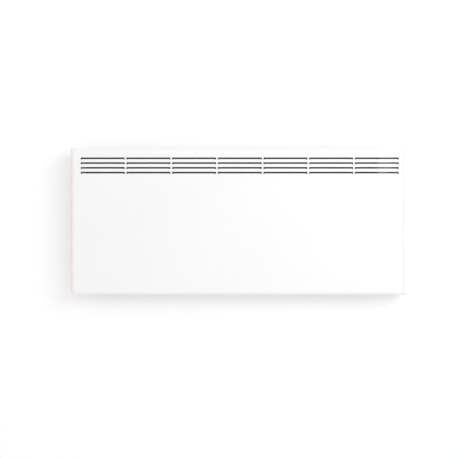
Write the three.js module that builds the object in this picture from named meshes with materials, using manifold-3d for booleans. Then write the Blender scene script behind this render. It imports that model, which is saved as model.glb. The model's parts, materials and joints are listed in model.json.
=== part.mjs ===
// Wall-hung electric panel convector: a folded steel casing with pressed louvres, moulded end caps,
// a finned heating element and a steel wall bracket on which the casing tips forward for cleaning.
// Millimetres. X runs along the width, the wall is the plane Y = 0, the front faces -Y, Z is up.
import * as THREE from "three";
import { mergeVertices } from "three/addons/utils/BufferGeometryUtils.js";
import Module from "manifold-3d";

const wasm = await Module();
wasm.setup();

// ---- Driving dimensions ----

// Casing
const PANEL_WIDTH = 894;
const PANEL_HEIGHT = 400;
const BODY_DEPTH = 58;
const WALL_GAP = 26;
const SHEET = 1;
const FOLD_RADIUS = 9;
const SMALL_BEND = 1.5;
const RETURN_DEPTH = 12;
const FIT = 0.3;
const PANEL_INSET = 1;
const REAR_CORNER = 3;

// Outlet louvres in the front
const LOUVRE_COLUMNS = 7;
const LOUVRE_ROWS = 4;
const LOUVRE_PITCH_X = 125;
const LOUVRE_PITCH_Z = 13.05;
const LOUVRE_LENGTH = 120.4;
const LOUVRE_HEIGHT = 5.7;
const LOUVRE_BELOW_TOP = 24.4;
const LOUVRE_CORNER = 0.8;
const LIP_LENGTH = 4;
const LIP_ANGLE = 1.5;
const LIP_BEND = 0.8;
const LIP_NOTCH = 3.4;
const LIP_ROOT = 0.6;

// Air intake in the bottom fold
const INTAKE_COLUMNS = 12;
const INTAKE_ROWS = 3;
const INTAKE_PITCH_X = 70;
const INTAKE_PITCH_Y = 13;
const INTAKE_LENGTH = 58;
const INTAKE_WIDTH = 7;

// Stiffening swages pressed into the rear panel
const SWAGE_BELOW_TOP = 160;
const SWAGE_ABOVE_BOTTOM = 110;
const SWAGE_WIDTH = 14;
const SWAGE_DEPTH = 2.5;
const SWAGE_SLOPE = 1.5;
const SWAGE_CLEAR = 20;

// End caps
const CAP_WIDTH = 15.5;
const CAP_PROUD = 1.4;
const CAP_EASE = 1;
const CAP_WALL = 2.2;
const CAP_FRONT_ROUND = 7;
const CAP_TOP_ROUND = 4.5;
const CAP_REAR_ROUND = 3;
const CAP_STATIONS = [0, 0.03, 0.12, 0.3, 0.6];
const SPIGOT_DEPTH = 6;
const SPIGOT_WALL = 1.6;
const BOSS_RADIUS = 5;
const BOSS_FROM_EDGE = 35;
const BOSS_FROM_REAR = 16;

// Screws
const SCREW_RADIUS = 1.6;
const SCREW_LENGTH = 8;
const SCREW_HEAD_RADIUS = 3.4;
const SCREW_HEAD_HEIGHT = 2;
const SCREW_CROWN_RADIUS = 2.4;
const SCREW_SIDES = 8;
const REAR_SCREW_COLUMNS = 4;
const REAR_SCREW_PITCH = 240;

// Wall bracket
const UPRIGHT_SPACING = 500;
const CHANNEL_WIDTH = 30;
const CHANNEL_DEPTH = 23;
const CHANNEL_SHEET = 1.5;
const CHANNEL_ABOVE_LOCK = 2;
const CHANNEL_CORNER = 4;
const HOOK_ABOVE_BOTTOM = 40;
const HOOK_BELOW = 10;
const HOOK_TIP = 6;
const HOOK_TIP_THICKNESS = 2.7;
const HOOK_CLEARANCE = 4.3;
const HOOK_SLOT_WIDTH = 4.5;
const HOOK_SLOT_PLAY = 1;
const HOOK_SHOULDER = 2;
const HOOK_EASE = 1;
const RAIL_HEIGHT = 40;
const RAIL_TAB = 14;
const RIVET_RADIUS = 2;
const RIVET_HEAD = 3.6;
const RIVET_CROWN = 2.2;
const RIVET_SET_HEAD = 2.9;
const RIVET_HEAD_HEIGHT = 1.2;
const RIVET_RISE = 11;
const WALL_SLOT_WIDTH = 5.5;
const WALL_SLOT_LENGTH = 14;
const WALL_SLOT_RISE = 110;
const WALL_SLOT_CORNER = 2.6;

// Sliding locks at the top of the bracket
const LOCK_BELOW_TOP = 35;
const LOCK_TRAVEL = 8;
const LOCK_BLOCK = 24;
const LOCK_DEPTH = 19;
const LOCK_ARM = 4;
const LOCK_ARM_WIDTH = 12;
const LOCK_NOSE_DROP = 7;
const LOCK_NOSE_THICKNESS = 4;
const LOCK_NOSE_GAP = 2;
const LOCK_LUG = 8;
const LOCK_LUG_DEPTH = 6;
const LOCK_LUG_REACH = 0.7;
const LOCK_TAB_HEIGHT = 12;
const LOCK_TAB_WIDTH = 18;
const LOCK_TAB_THICKNESS = 7;
const LOCK_SLOT_WIDTH = 14;
const LOCK_SLOT_PLAY = 1;
const LOCK_CORNER = 1.5;
const LOCK_NOSE_CHAMFER = 2;
const LOCK_ROOT = 2;

// Wall buffers at the lower rear corners
const BUFFER_LENGTH = 12;
const BUFFER_RADIUS = 9;
const BUFFER_CHAMFER = 3;
const BUFFER_CROWN = 6.3;
const BUFFER_STEM_HOLE = 4.5;
const BUFFER_HEAD_RADIUS = 5.4;
const BUFFER_HEAD_THICKNESS = 2;
const BUFFER_ABOVE_BOTTOM = 18;
const BUFFER_FROM_END = 117;

// Heating element
const ELEMENT_ABOVE_BOTTOM = 95;
const ELEMENT_END_GAP = 30;
const ELEMENT_TUBE_RADIUS = 7;
const ELEMENT_WING = 34;
const ELEMENT_WING_ANGLE = 0.42;
const ELEMENT_WING_THICKNESS = 1.6;
const ELEMENT_WING_ROOT = 2.4;
const SLIT_PITCH = 24;
const SLIT_WIDTH = 3;
const SLIT_START = 11;
const ROD_RADIUS = 4;
const BUSH_RADIUS = 9;
const BUSH_FLANGE = 12;
const BUSH_LENGTH = 9;
const BUSH_FLANGE_THICKNESS = 3;
const ROD_TERMINAL_RADIUS = 2;
const ROD_TERMINAL_LENGTH = 10;

// Inner sheets
const PARTITION_FROM_END = 74;
const SHIELD_GAP = 11;
const SHIELD_ABOVE_BOTTOM = 45;
const SHIELD_HEIGHT = 200;
const SHIELD_KICK = 12;
const TAB_HEIGHT = 20;
const TAB_LENGTH = 3;
const GUIDE_FOOT_BELOW_TOP = 130;
const GUIDE_RISE = 30;
const GUIDE_FRONT_GAP = 4;
const GUIDE_TOP_GAP = 12;
const GUIDE_STEPS = 8;
const GUIDE_SCREW_X = 150;
const LEAD_HOLE_RADIUS = 5;

// Control unit at the right-hand end
const WINDOW_HEIGHT = 96;
const WINDOW_WIDTH = 36;
const WINDOW_BELOW_TOP = 114;
const WINDOW_SET_BACK = 4;
const WINDOW_COLLAR = 1.8;
const WINDOW_RADIUS = 5;
const FASCIA_RECESS = 10.5;
const FASCIA_THICKNESS = 2;
const HOUSING_DEPTH = 54;
const HOUSING_WALL = 1.8;
const COVER_THICKNESS = 1.8;
const DIAL_RADIUS = 15;
const DIAL_DEPTH = 8.4;
const DIAL_FLUTES = 12;
const DIAL_FLUTE_RADIUS = 1.5;
const DIAL_FLUTE_OUTSET = 0.6;
const DIAL_SKIRT = 2;
const DIAL_CHAMFER = 1.2;
const DIAL_DISH_RADIUS = 8.2;
const DIAL_DISH_FLOOR = 6.8;
const DIAL_DISH_DEPTH = 0.6;
const POINTER_START = 9;
const POINTER_WIDTH = 1.4;
const POINTER_DEPTH = 0.8;
const DIAL_RISE = 26;
const DIAL_LOWEST = Math.PI * 0.75;
const SPINDLE_RADIUS = 3;
const POT_RADIUS = 8;
const POT_DEPTH = 8;
const BOARD_THICKNESS = 1.6;
const BOARD_MARGIN = 1;
const POST_SIDE = 4;
const POST_ROOT = 0.5;
const POST_INSET = 2.5;
const SWITCH_DROP = 14;
const ROCKER_HEIGHT = 20;
const ROCKER_WIDTH = 12;
const ROCKER_ANGLE = 0.14;
const ROCKER_FOOT = 3.2;
const ROCKER_DEPTH = 3.4;
const ROCKER_SIDE_DEPTH = 1.2;
const ROCKER_RISE = 3.6;
const ROCKER_WAIST = 2.4;
const ROCKER_EASE = 0.3;
const SWITCH_BODY_WALL = 1.5;
const SWITCH_BODY_DEPTH = 10;
const SWITCH_BODY_PROUD = 1.5;
const SWITCH_WELL_DEPTH = 6;
const LENS_DROP = 36;
const LENS_RADIUS = 2.5;
const LENS_DEPTH = 6;
const LENS_RIM = 0.4;
const LENS_DOME = 1.1;

// Small parts inside
const CUTOUT_X = 110;
const CUTOUT_BELOW_TOP = 160;
const CUTOUT_RADIUS = 8;
const CUTOUT_THICKNESS = 6;
const CLIP_REACH = 14;
const CLIP_WIDTH = 22;
const CLIP_FOOT = 16;
const CLIP_ABOVE = 4;
const CLIP_TAIL = 2;
const CUTOUT_STUD = 4;
const BLADE_SIDE = 6;
const BLADE_THICKNESS = 0.8;
const BLADE_OFFSET = 1;
const TERMINAL_ABOVE_BOTTOM = 60;
const TERMINAL_LENGTH = 34;
const TERMINAL_DEPTH = 16;
const TERMINAL_RISE = 18;
const TERMINAL_SHOULDER = 9.6;
const TERMINAL_WELLS = 3;
const TERMINAL_WELL_RADIUS = 3;
const GLAND_ABOVE_BOTTOM = 25;
const GLAND_RADIUS = 8;
const GLAND_BORE = 4;
const GLAND_FLANGE = 10.5;
const GLAND_LIP = 2.2;
const GLAND_CHAMFER = 1;
const SENSOR_RADIUS = 2.6;
const SENSOR_LENGTH = 16;
const SENSOR_ABOVE_BOTTOM = 35;
const SENSOR_STANDOFF = 0.6;
const SENSOR_CLIP_FOOT = 14;
const SENSOR_CLIP_REACH = 3;
const SENSOR_CLIP_PLAY = 1;
const SENSOR_CLIP_WIDTH = 8;
const LEAD_RADIUS = 1.6;
const LEAD_BEND = 10;
const LEAD_STEPS = 16;
const LEAD_SIDES = 6;

// How finely round shapes are divided, and how far a cutter runs past what it cuts
const FINE_SIDES = 20;
const ROUND_SIDES = 16;
const SMALL_SIDES = 12;
const CORNER_STEPS = 4;
const OVERRUN = 1;

// ---- Derived places ----
const HALF_WIDTH = PANEL_WIDTH / 2;
const HALF_HEIGHT = PANEL_HEIGHT / 2;
const REAR_Y = -WALL_GAP;
const FRONT_Y = REAR_Y - BODY_DEPTH;
const REAR_INNER_Y = REAR_Y - SHEET;
const RETURN_Y = REAR_INNER_Y - FIT - SHEET / 2;
const RETURN_FACE_Y = RETURN_Y - SHEET / 2 - FIT;
const CAP_OUTER_X = HALF_WIDTH + CAP_WIDTH;
const CAP_INNER_X = HALF_WIDTH + FIT;
const CAP_HALF_HEIGHT = HALF_HEIGHT + CAP_PROUD;
const CAP_FRONT_Y = FRONT_Y - CAP_PROUD;
const SPIGOT_END_X = CAP_INNER_X - SPIGOT_DEPTH;
const GABLE_X = SPIGOT_END_X - FIT - SHEET;
const PARTITION_X = HALF_WIDTH - PARTITION_FROM_END;
const BOSS_Y = REAR_Y - BOSS_FROM_REAR;
const BOSS_HEIGHT = HALF_HEIGHT - BOSS_FROM_EDGE;
const HOOK_HEIGHT = -HALF_HEIGHT + HOOK_ABOVE_BOTTOM;
const LOCK_HEIGHT = HALF_HEIGHT - LOCK_BELOW_TOP;
const CHANNEL_TOP = LOCK_HEIGHT + LOCK_BLOCK / 2 + CHANNEL_ABOVE_LOCK;
const BUFFER_X = HALF_WIDTH - BUFFER_FROM_END;
const BUFFER_HEIGHT = -HALF_HEIGHT + BUFFER_ABOVE_BOTTOM;
const ELEMENT_HEIGHT = -HALF_HEIGHT + ELEMENT_ABOVE_BOTTOM;
const SHIELD_BOTTOM = -HALF_HEIGHT + SHIELD_ABOVE_BOTTOM;
const SHIELD_TOP = SHIELD_BOTTOM + SHIELD_HEIGHT;
const GUIDE_FOOT = HALF_HEIGHT - GUIDE_FOOT_BELOW_TOP;
const GUIDE_START = GUIDE_FOOT + GUIDE_RISE;
const CUTOUT_HEIGHT = HALF_HEIGHT - CUTOUT_BELOW_TOP;
const TERMINAL_HEIGHT = -HALF_HEIGHT + TERMINAL_ABOVE_BOTTOM;
const GLAND_HEIGHT = -HALF_HEIGHT + GLAND_ABOVE_BOTTOM;
const SENSOR_HEIGHT = -HALF_HEIGHT + SENSOR_ABOVE_BOTTOM;
const SENSOR_X = GABLE_X - FIT - SHEET - SENSOR_RADIUS - SENSOR_STANDOFF;
const BAY_X = (PARTITION_X + SHEET + GABLE_X) / 2;
const CLIP_FRONT_Y = REAR_INNER_Y - FIT - SHEET - CLIP_REACH - FIT;
const WINDOW_CENTRE_HEIGHT = HALF_HEIGHT - WINDOW_BELOW_TOP;
const ELEMENT_Y = REAR_Y - BODY_DEPTH / 2;
const CONTROL_Y = ELEMENT_Y + WINDOW_SET_BACK;
const FASCIA_X = CAP_OUTER_X - FASCIA_RECESS;
const HOUSING_BACK_X = FASCIA_X - HOUSING_DEPTH;
const HOUSING_HEIGHT = WINDOW_HEIGHT - 2 * FIT;
const HOUSING_WIDTH = WINDOW_WIDTH - 2 * FIT;
const DIAL_Z = WINDOW_CENTRE_HEIGHT + DIAL_RISE;
const SWITCH_Z = WINDOW_CENTRE_HEIGHT - SWITCH_DROP;
const LENS_Z = WINDOW_CENTRE_HEIGHT - LENS_DROP;
const SHIELD_Y = FRONT_Y + SHIELD_GAP;

// ---- Finishes ----
function finish(color, roughness, metalness = 0) {
  return new THREE.MeshStandardMaterial({ color, roughness, metalness });
}
const paintWhite = () => finish(0xf4f4f3, 0.45);
const plasticWhite = () => finish(0xf1efed, 0.5);
const zincSteel = () => finish(0xb9bcc0, 0.4, 0.9);
const aluminium = () => finish(0xc9ccd0, 0.35, 1);
const darkPlastic = () => finish(0x26282a, 0.55);
const greyPlastic = () => finish(0x8d9094, 0.55);
const ceramic = () => finish(0xe9e3d6, 0.6);
const rubber = () => finish(0x303234, 0.8);
const boardGreen = () => finish(0x2f6b45, 0.5);
const lensRed = () => finish(0xc23a2c, 0.2);
const leadSleeve = () => finish(0xd8d2c6, 0.6);

// ---- Solids ----
function toSolid(geometry) {
  const bare = geometry.index ? geometry.toNonIndexed() : geometry.clone();
  bare.deleteAttribute("normal");
  bare.deleteAttribute("uv");
  const merged = mergeVertices(bare, 1e-4);
  return new wasm.Manifold(new wasm.Mesh({
    numProp: 3,
    vertProperties: merged.attributes.position.array,
    triVerts: new Uint32Array(merged.index.array),
  }));
}

function toGeometry(solid) {
  const mesh = solid.getMesh();
  const geometry = new THREE.BufferGeometry();
  geometry.setAttribute("position", new THREE.BufferAttribute(mesh.vertProperties, 3));
  geometry.setIndex(new THREE.BufferAttribute(mesh.triVerts, 1));
  geometry.computeVertexNormals();
  return geometry;
}

// The solids added to each other one after another.
function joined(geometries) {
  return geometries.map(toSolid).reduce((whole, piece) => whole.add(piece));
}

function join(...geometries) {
  return toGeometry(joined(geometries));
}

function cut(base, cutters) {
  return toGeometry(toSolid(base).subtract(joined(cutters)));
}

function box(x0, x1, y0, y1, z0, z1) {
  const geometry = new THREE.BoxGeometry(x1 - x0, y1 - y0, z1 - z0);
  return geometry.translate((x0 + x1) / 2, (y0 + y1) / 2, (z0 + z1) / 2);
}

function extrude(outline, depth) {
  const shape = new THREE.Shape(outline);
  return new THREE.ExtrudeGeometry(shape, { depth, bevelEnabled: false, curveSegments: 6 });
}

const X_AXIS = new THREE.Vector3(1, 0, 0);
const Y_AXIS = new THREE.Vector3(0, 1, 0);
const Z_AXIS = new THREE.Vector3(0, 0, 1);

// An outline in (y, z), drawn out along x.
function alongX(outline, x0, x1) {
  const turned = new THREE.Matrix4().makeBasis(Y_AXIS, Z_AXIS, X_AXIS);
  return extrude(outline, x1 - x0).applyMatrix4(turned).translate(x0, 0, 0);
}

// An outline in (x, z), drawn out along y.
function alongY(outline, y0, y1) {
  const turned = new THREE.Matrix4().makeBasis(X_AXIS, Z_AXIS, Y_AXIS.clone().negate());
  return extrude(outline, y1 - y0).applyMatrix4(turned).translate(0, y1, 0);
}

// An outline in (x, y), drawn out along z.
function alongZ(outline, z0, z1) {
  return extrude(outline, z1 - z0).translate(0, 0, z0);
}

function roundX(radius, x0, x1, y, z, sides = ROUND_SIDES) {
  const geometry = new THREE.CylinderGeometry(radius, radius, x1 - x0, sides);
  return geometry.rotateZ(-Math.PI / 2).translate((x0 + x1) / 2, y, z);
}

function roundY(radius, y0, y1, x, z, sides = ROUND_SIDES) {
  const geometry = new THREE.CylinderGeometry(radius, radius, y1 - y0, sides);
  return geometry.translate(x, (y0 + y1) / 2, z);
}

// A rectangle with round corners; with steps 1 the corners are cut off straight.
function roundedRectangle(a0, a1, b0, b1, radius, steps = 3) {
  const points = [];
  const centres = [
    [a1 - radius, b0 + radius, -Math.PI / 2],
    [a1 - radius, b1 - radius, 0],
    [a0 + radius, b1 - radius, Math.PI / 2],
    [a0 + radius, b0 + radius, Math.PI],
  ];
  for (const [a, b, from] of centres) {
    for (let i = 0; i <= steps; i += 1) {
      const angle = from + (i / steps) * (Math.PI / 2);
      points.push(new THREE.Vector2(a + radius * Math.cos(angle), b + radius * Math.sin(angle)));
    }
  }
  return points;
}

// The outline of a bent sheet: corners [a, b, radius] lie on its middle line.
function bentSheet(corners, thickness, steps = 4) {
  const middle = [];
  const at = (i) => new THREE.Vector2(corners[i][0], corners[i][1]);
  for (let i = 0; i < corners.length; i += 1) {
    const radius = corners[i][2] ?? 0;
    const before = i > 0 ? at(i).sub(at(i - 1)).normalize() : null;
    const after = i < corners.length - 1 ? at(i + 1).sub(at(i)).normalize() : null;
    if (!before || !after || radius === 0) {
      const along = (before ?? after).clone().add(after ?? before).normalize();
      middle.push({ point: at(i), angle: along.angle() });
      continue;
    }
    const turn = Math.atan2(before.cross(after), before.dot(after));
    const back = radius * Math.tan(Math.abs(turn) / 2);
    const start = at(i).addScaledVector(before, -back);
    const side = Math.sign(turn);
    const centre = start.clone().add(new THREE.Vector2(-before.y, before.x).multiplyScalar(side * radius));
    for (let k = 0; k <= steps; k += 1) {
      const swept = (k / steps) * turn;
      const point = start.clone().rotateAround(centre, swept);
      middle.push({ point, angle: before.angle() + swept });
    }
  }
  const shifted = (entry, offset) => new THREE.Vector2(
    entry.point.x - Math.sin(entry.angle) * offset,
    entry.point.y + Math.cos(entry.angle) * offset,
  );
  const right = middle.map((entry) => shifted(entry, -thickness / 2));
  const left = middle.map((entry) => shifted(entry, thickness / 2));
  return right.concat(left.reverse());
}

// A closed skin over rings of equally many points, with flat ends.
function loft(rings) {
  const count = rings[0].length;
  const positions = rings.flat().flatMap((p) => [p.x, p.y, p.z]);
  const index = [];
  for (let r = 0; r < rings.length - 1; r += 1) {
    for (let i = 0; i < count; i += 1) {
      const a = r * count + i;
      const b = r * count + ((i + 1) % count);
      index.push(a, b, a + count, b, b + count, a + count);
    }
  }
  const last = (rings.length - 1) * count;
  for (let i = 1; i < count - 1; i += 1) {
    index.push(0, i + 1, i);
    index.push(last, last + i, last + i + 1);
  }
  const geometry = new THREE.BufferGeometry();
  geometry.setAttribute("position", new THREE.Float32BufferAttribute(positions, 3));
  geometry.setIndex(index);
  return geometry;
}

// A round bar along a smooth curve.
function tube(points, radius, steps, sides = 8) {
  const path = new THREE.CatmullRomCurve3(points);
  const outline = [];
  for (let i = 0; i < sides; i += 1) {
    const angle = (i / sides) * 2 * Math.PI;
    outline.push(new THREE.Vector2(radius * Math.cos(angle), radius * Math.sin(angle)));
  }
  return new THREE.ExtrudeGeometry(new THREE.Shape(outline), { steps, extrudePath: path });
}

const heater = new THREE.Group();

function place(parent, name, geometry, material) {
  const mesh = new THREE.Mesh(geometry, material);
  mesh.name = name;
  parent.add(mesh);
  return mesh;
}

// ---- Casing ----
function louvreColumns() {
  return Array.from({ length: LOUVRE_COLUMNS }, (_, i) => (i - (LOUVRE_COLUMNS - 1) / 2) * LOUVRE_PITCH_X);
}

function louvreBottoms() {
  const first = HALF_HEIGHT - LOUVRE_BELOW_TOP - LOUVRE_HEIGHT;
  return Array.from({ length: LOUVRE_ROWS }, (_, i) => first - i * LOUVRE_PITCH_Z);
}

function louvreOpening(x, bottom) {
  const half = LOUVRE_LENGTH / 2;
  const outline = roundedRectangle(x - half, x + half, bottom, bottom + LOUVRE_HEIGHT, LOUVRE_CORNER, 1);
  return alongY(outline, FRONT_Y - SHEET, FRONT_Y + 2 * SHEET);
}

// The tongue that is pressed inwards and up from the lower edge of an opening.
function louvreLip(x, bottom) {
  const half = LOUVRE_LENGTH / 2 - LIP_NOTCH;
  const middleY = FRONT_Y + SHEET / 2;
  const bendZ = bottom + LIP_BEND * Math.tan(LIP_ANGLE / 2);
  const outline = bentSheet([
    [middleY, bottom - LIP_ROOT],
    [middleY, bendZ, LIP_BEND],
    [middleY + LIP_LENGTH * Math.sin(LIP_ANGLE), bendZ + LIP_LENGTH * Math.cos(LIP_ANGLE)],
  ], SHEET, 3);
  return alongX(outline, x - half, x + half);
}

function casingProfile() {
  const middle = SHEET / 2;
  const fold = FOLD_RADIUS - middle;
  return bentSheet([
    [RETURN_Y, HALF_HEIGHT - RETURN_DEPTH],
    [RETURN_Y, HALF_HEIGHT - middle, SMALL_BEND],
    [FRONT_Y + middle, HALF_HEIGHT - middle, fold],
    [FRONT_Y + middle, -HALF_HEIGHT + middle, fold],
    [RETURN_Y, -HALF_HEIGHT + middle, SMALL_BEND],
    [RETURN_Y, -HALF_HEIGHT + RETURN_DEPTH],
  ], SHEET, 6);
}

function intakeSlots() {
  const slots = [];
  for (let column = 0; column < INTAKE_COLUMNS; column += 1) {
    for (let row = 0; row < INTAKE_ROWS; row += 1) {
      const x = (column - (INTAKE_COLUMNS - 1) / 2) * INTAKE_PITCH_X;
      const y = ELEMENT_Y + (row - (INTAKE_ROWS - 1) / 2) * INTAKE_PITCH_Y;
      slots.push(box(
        x - INTAKE_LENGTH / 2, x + INTAKE_LENGTH / 2,
        y - INTAKE_WIDTH / 2, y + INTAKE_WIDTH / 2,
        -HALF_HEIGHT - SHEET, -HALF_HEIGHT + 2 * SHEET,
      ));
    }
  }
  return slots;
}

function rearScrewColumns() {
  const half = (REAR_SCREW_COLUMNS - 1) / 2;
  return Array.from({ length: REAR_SCREW_COLUMNS }, (_, i) => (i - half) * REAR_SCREW_PITCH);
}

// Where the screws go in from behind: [x, z], along both return flanges.
function rearScrewPlaces() {
  const z = HALF_HEIGHT - RETURN_DEPTH / 2 - SHEET / 2;
  return rearScrewColumns().flatMap((x) => [[x, z], [x, -z]]);
}

// [x, z] of the screws through the rear flanges of the gables.
function gableScrewPlaces() {
  const x = GABLE_X - RETURN_DEPTH / 2;
  return [[-x, 0], [x, 0]];
}

function screwHole([x, z]) {
  return roundY(SCREW_RADIUS + FIT, RETURN_Y - 3 * SHEET, REAR_Y + SHEET, x, z, SCREW_SIDES);
}

function frontPanel() {
  const openings = louvreColumns().flatMap((x) => louvreBottoms().map((z) => louvreOpening(x, z)));
  const lips = louvreColumns().flatMap((x) => louvreBottoms().map((z) => louvreLip(x, z)));
  const cutters = [...openings, ...intakeSlots(), ...rearScrewPlaces().map(screwHole)];
  const pierced = cut(alongX(casingProfile(), -HALF_WIDTH, HALF_WIDTH), cutters);
  return join(pierced, ...lips);
}

function uprightCentres() {
  return [-UPRIGHT_SPACING / 2, UPRIGHT_SPACING / 2];
}

function flangeCentres(x) {
  const offset = (CHANNEL_WIDTH - CHANNEL_SHEET) / 2;
  return [x - offset, x + offset];
}

function hookSlot(x) {
  const half = HOOK_SLOT_WIDTH / 2;
  const bottom = HOOK_HEIGHT - HOOK_BELOW - HOOK_TIP - HOOK_SLOT_PLAY;
  return box(x - half, x + half, REAR_INNER_Y - SHEET, REAR_Y + SHEET, bottom, HOOK_HEIGHT + FIT);
}

function lockSlot(x) {
  const half = LOCK_SLOT_WIDTH / 2;
  const outline = roundedRectangle(
    x - half, x + half, LOCK_HEIGHT - LOCK_TRAVEL - FIT, LOCK_HEIGHT + LOCK_ARM + LOCK_SLOT_PLAY,
    LOCK_SLOT_PLAY, 1,
  );
  return alongY(outline, REAR_INNER_Y - SHEET, REAR_Y + SHEET);
}

function rearPanel() {
  const halfWidth = HALF_WIDTH - PANEL_INSET;
  const halfHeight = HALF_HEIGHT - PANEL_INSET;
  const outline = roundedRectangle(-halfWidth, halfWidth, -halfHeight, halfHeight, REAR_CORNER);
  const swages = (grow, rear, front) => swageSpans().map((span) => swageBlock(span, grow, rear, front));
  const sheet = join(
    alongY(outline, REAR_INNER_Y, REAR_Y),
    ...swages(SHEET, REAR_Y - SHEET / 2, REAR_INNER_Y - SWAGE_DEPTH),
  );
  const cutters = [
    ...uprightCentres().flatMap((x) => flangeCentres(x).map(hookSlot)),
    ...uprightCentres().map(lockSlot),
    ...rearScrewPlaces().map(screwHole),
    ...gableScrewPlaces().map(screwHole),
    ...guideScrewPlaces().map(screwHole),
    roundY(GLAND_RADIUS + FIT, REAR_INNER_Y - SHEET, REAR_Y + SHEET, BAY_X, GLAND_HEIGHT),
    ...bufferCentres().map((x) => roundY(
      BUFFER_STEM_HOLE, REAR_INNER_Y - SHEET, REAR_Y + SHEET, x, BUFFER_HEIGHT,
    )),
    ...swages(0, REAR_Y + OVERRUN, REAR_Y - SWAGE_DEPTH),
  ];
  return cut(sheet, cutters);
}

// [x0, x1, z] of each swage: between the bracket's uprights, and from them to the gable and the partition.
function swageSpans() {
  const beside = UPRIGHT_SPACING / 2 + CHANNEL_WIDTH / 2 + SWAGE_CLEAR;
  const within = UPRIGHT_SPACING / 2 - CHANNEL_WIDTH / 2 - SWAGE_CLEAR;
  const leftEnd = GABLE_X - RETURN_DEPTH - SWAGE_CLEAR / 2;
  const rightEnd = PARTITION_X - SWAGE_CLEAR / 2;
  const levels = [HALF_HEIGHT - SWAGE_BELOW_TOP, -HALF_HEIGHT + SWAGE_ABOVE_BOTTOM];
  return levels.flatMap((z) => [[-leftEnd, -beside, z], [-within, within, z], [beside, rightEnd, z]]);
}

// A block with sloping sides that narrows from the plane rear to the plane front.
function swageBlock([x0, x1, z], grow, rear, front) {
  const ring = (y, back) => {
    const side = SWAGE_WIDTH / 2 + grow - back;
    return roundedRectangle(x0 - grow + back, x1 + grow - back, z - side, z + side, side - FIT, 2)
      .map((p) => new THREE.Vector3(p.x, y, p.y));
  };
  return loft([ring(rear, 0), ring(front, SWAGE_SLOPE)]);
}

function bufferCentres() {
  return [-BUFFER_X, BUFFER_X];
}

function guideScrewPlaces() {
  return [[-GUIDE_SCREW_X, GUIDE_FOOT + TAB_HEIGHT / 2], [GUIDE_SCREW_X, GUIDE_FOOT + TAB_HEIGHT / 2]];
}

function rearScrew(x, z) {
  const profile = [
    [0, -SCREW_LENGTH],
    [SCREW_RADIUS, -SCREW_LENGTH],
    [SCREW_RADIUS, 0],
    [SCREW_HEAD_RADIUS, 0],
    [SCREW_CROWN_RADIUS, SCREW_HEAD_HEIGHT],
    [0, SCREW_HEAD_HEIGHT],
  ].map(([r, h]) => new THREE.Vector2(r, h));
  const geometry = new THREE.LatheGeometry(profile, SCREW_SIDES);
  return geometry.translate(x, REAR_Y + FIT, z);
}

// ---- End caps and gables ----
// How far a rounded edge has fallen back at a distance from the cap's outer face.
function roundInset(radius, distance) {
  if (distance >= radius) {
    return 0;
  }
  return radius - Math.sqrt(radius ** 2 - (radius - distance) ** 2);
}

// The cap's outline in (y, z) with every side moved in by the same amount.
function capOutline(inset) {
  const half = CAP_HALF_HEIGHT - inset;
  const corner = FOLD_RADIUS + CAP_PROUD - inset;
  return roundedRectangle(CAP_FRONT_Y + inset, REAR_Y - inset, -half, half, corner, CORNER_STEPS);
}

// The cap's skin at a distance from its outer face, on the outside or inside its wall.
function capRing(distance, wall) {
  const inside = distance - wall;
  const front = CAP_FRONT_Y + wall + roundInset(CAP_FRONT_ROUND - wall, inside);
  const rear = REAR_Y - wall - roundInset(CAP_REAR_ROUND, inside);
  const half = CAP_HALF_HEIGHT - wall - roundInset(CAP_TOP_ROUND - wall, inside);
  const ring = roundedRectangle(front, rear, -half, half, FOLD_RADIUS + CAP_PROUD - wall, CORNER_STEPS);
  const x = CAP_OUTER_X - distance;
  return ring.map((p) => new THREE.Vector3(x, p.x, p.y));
}

// The skin with rounded outer edges and an eased rim, hollowed from the casing's side.
function capSkin() {
  const depth = CAP_OUTER_X - CAP_INNER_X;
  const outer = CAP_STATIONS.map((d) => d * CAP_FRONT_ROUND).concat([depth - CAP_EASE]).reverse();
  const inner = CAP_STATIONS.map((d) => d * (CAP_FRONT_ROUND - CAP_WALL) + CAP_WALL);
  const open = inner.concat([depth + OVERRUN]).reverse();
  const rim = capOutline(CAP_EASE).map((p) => new THREE.Vector3(CAP_INNER_X, p.x, p.y));
  const solid = loft([rim, ...outer.map((d) => capRing(d, 0))]);
  return cut(solid, [loft(open.map((d) => capRing(d, CAP_WALL)))]);
}

// The casing's inner outline, moved in by a wall, between two planes across it.
function spigotBlock(wall, x0, x1) {
  const outline = roundedRectangle(
    FRONT_Y + SHEET + FIT + wall, RETURN_FACE_Y - wall,
    -HALF_HEIGHT + SHEET + FIT + wall, HALF_HEIGHT - SHEET - FIT - wall,
    FOLD_RADIUS - SHEET - wall, CORNER_STEPS,
  );
  return alongX(outline, x0, x1);
}

function capShell() {
  const rimEnd = CAP_INNER_X + CAP_WALL;
  const rim = alongX(capOutline(CAP_WALL / 2), CAP_INNER_X, rimEnd);
  const spigot = cut(
    join(rim, spigotBlock(0, SPIGOT_END_X, rimEnd)),
    [spigotBlock(SPIGOT_WALL, SPIGOT_END_X - OVERRUN, rimEnd + OVERRUN)],
  );
  const heights = [-BOSS_HEIGHT, BOSS_HEIGHT];
  const bosses = heights.map((z) => roundX(
    BOSS_RADIUS, SPIGOT_END_X, CAP_OUTER_X - CAP_WALL / 2, BOSS_Y, z,
  ));
  const holes = heights.map((z) => roundX(
    SCREW_RADIUS + FIT, SPIGOT_END_X - OVERRUN, CAP_OUTER_X - CAP_WALL, BOSS_Y, z, SCREW_SIDES,
  ));
  return cut(join(capSkin(), spigot, ...bosses), holes);
}

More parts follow.
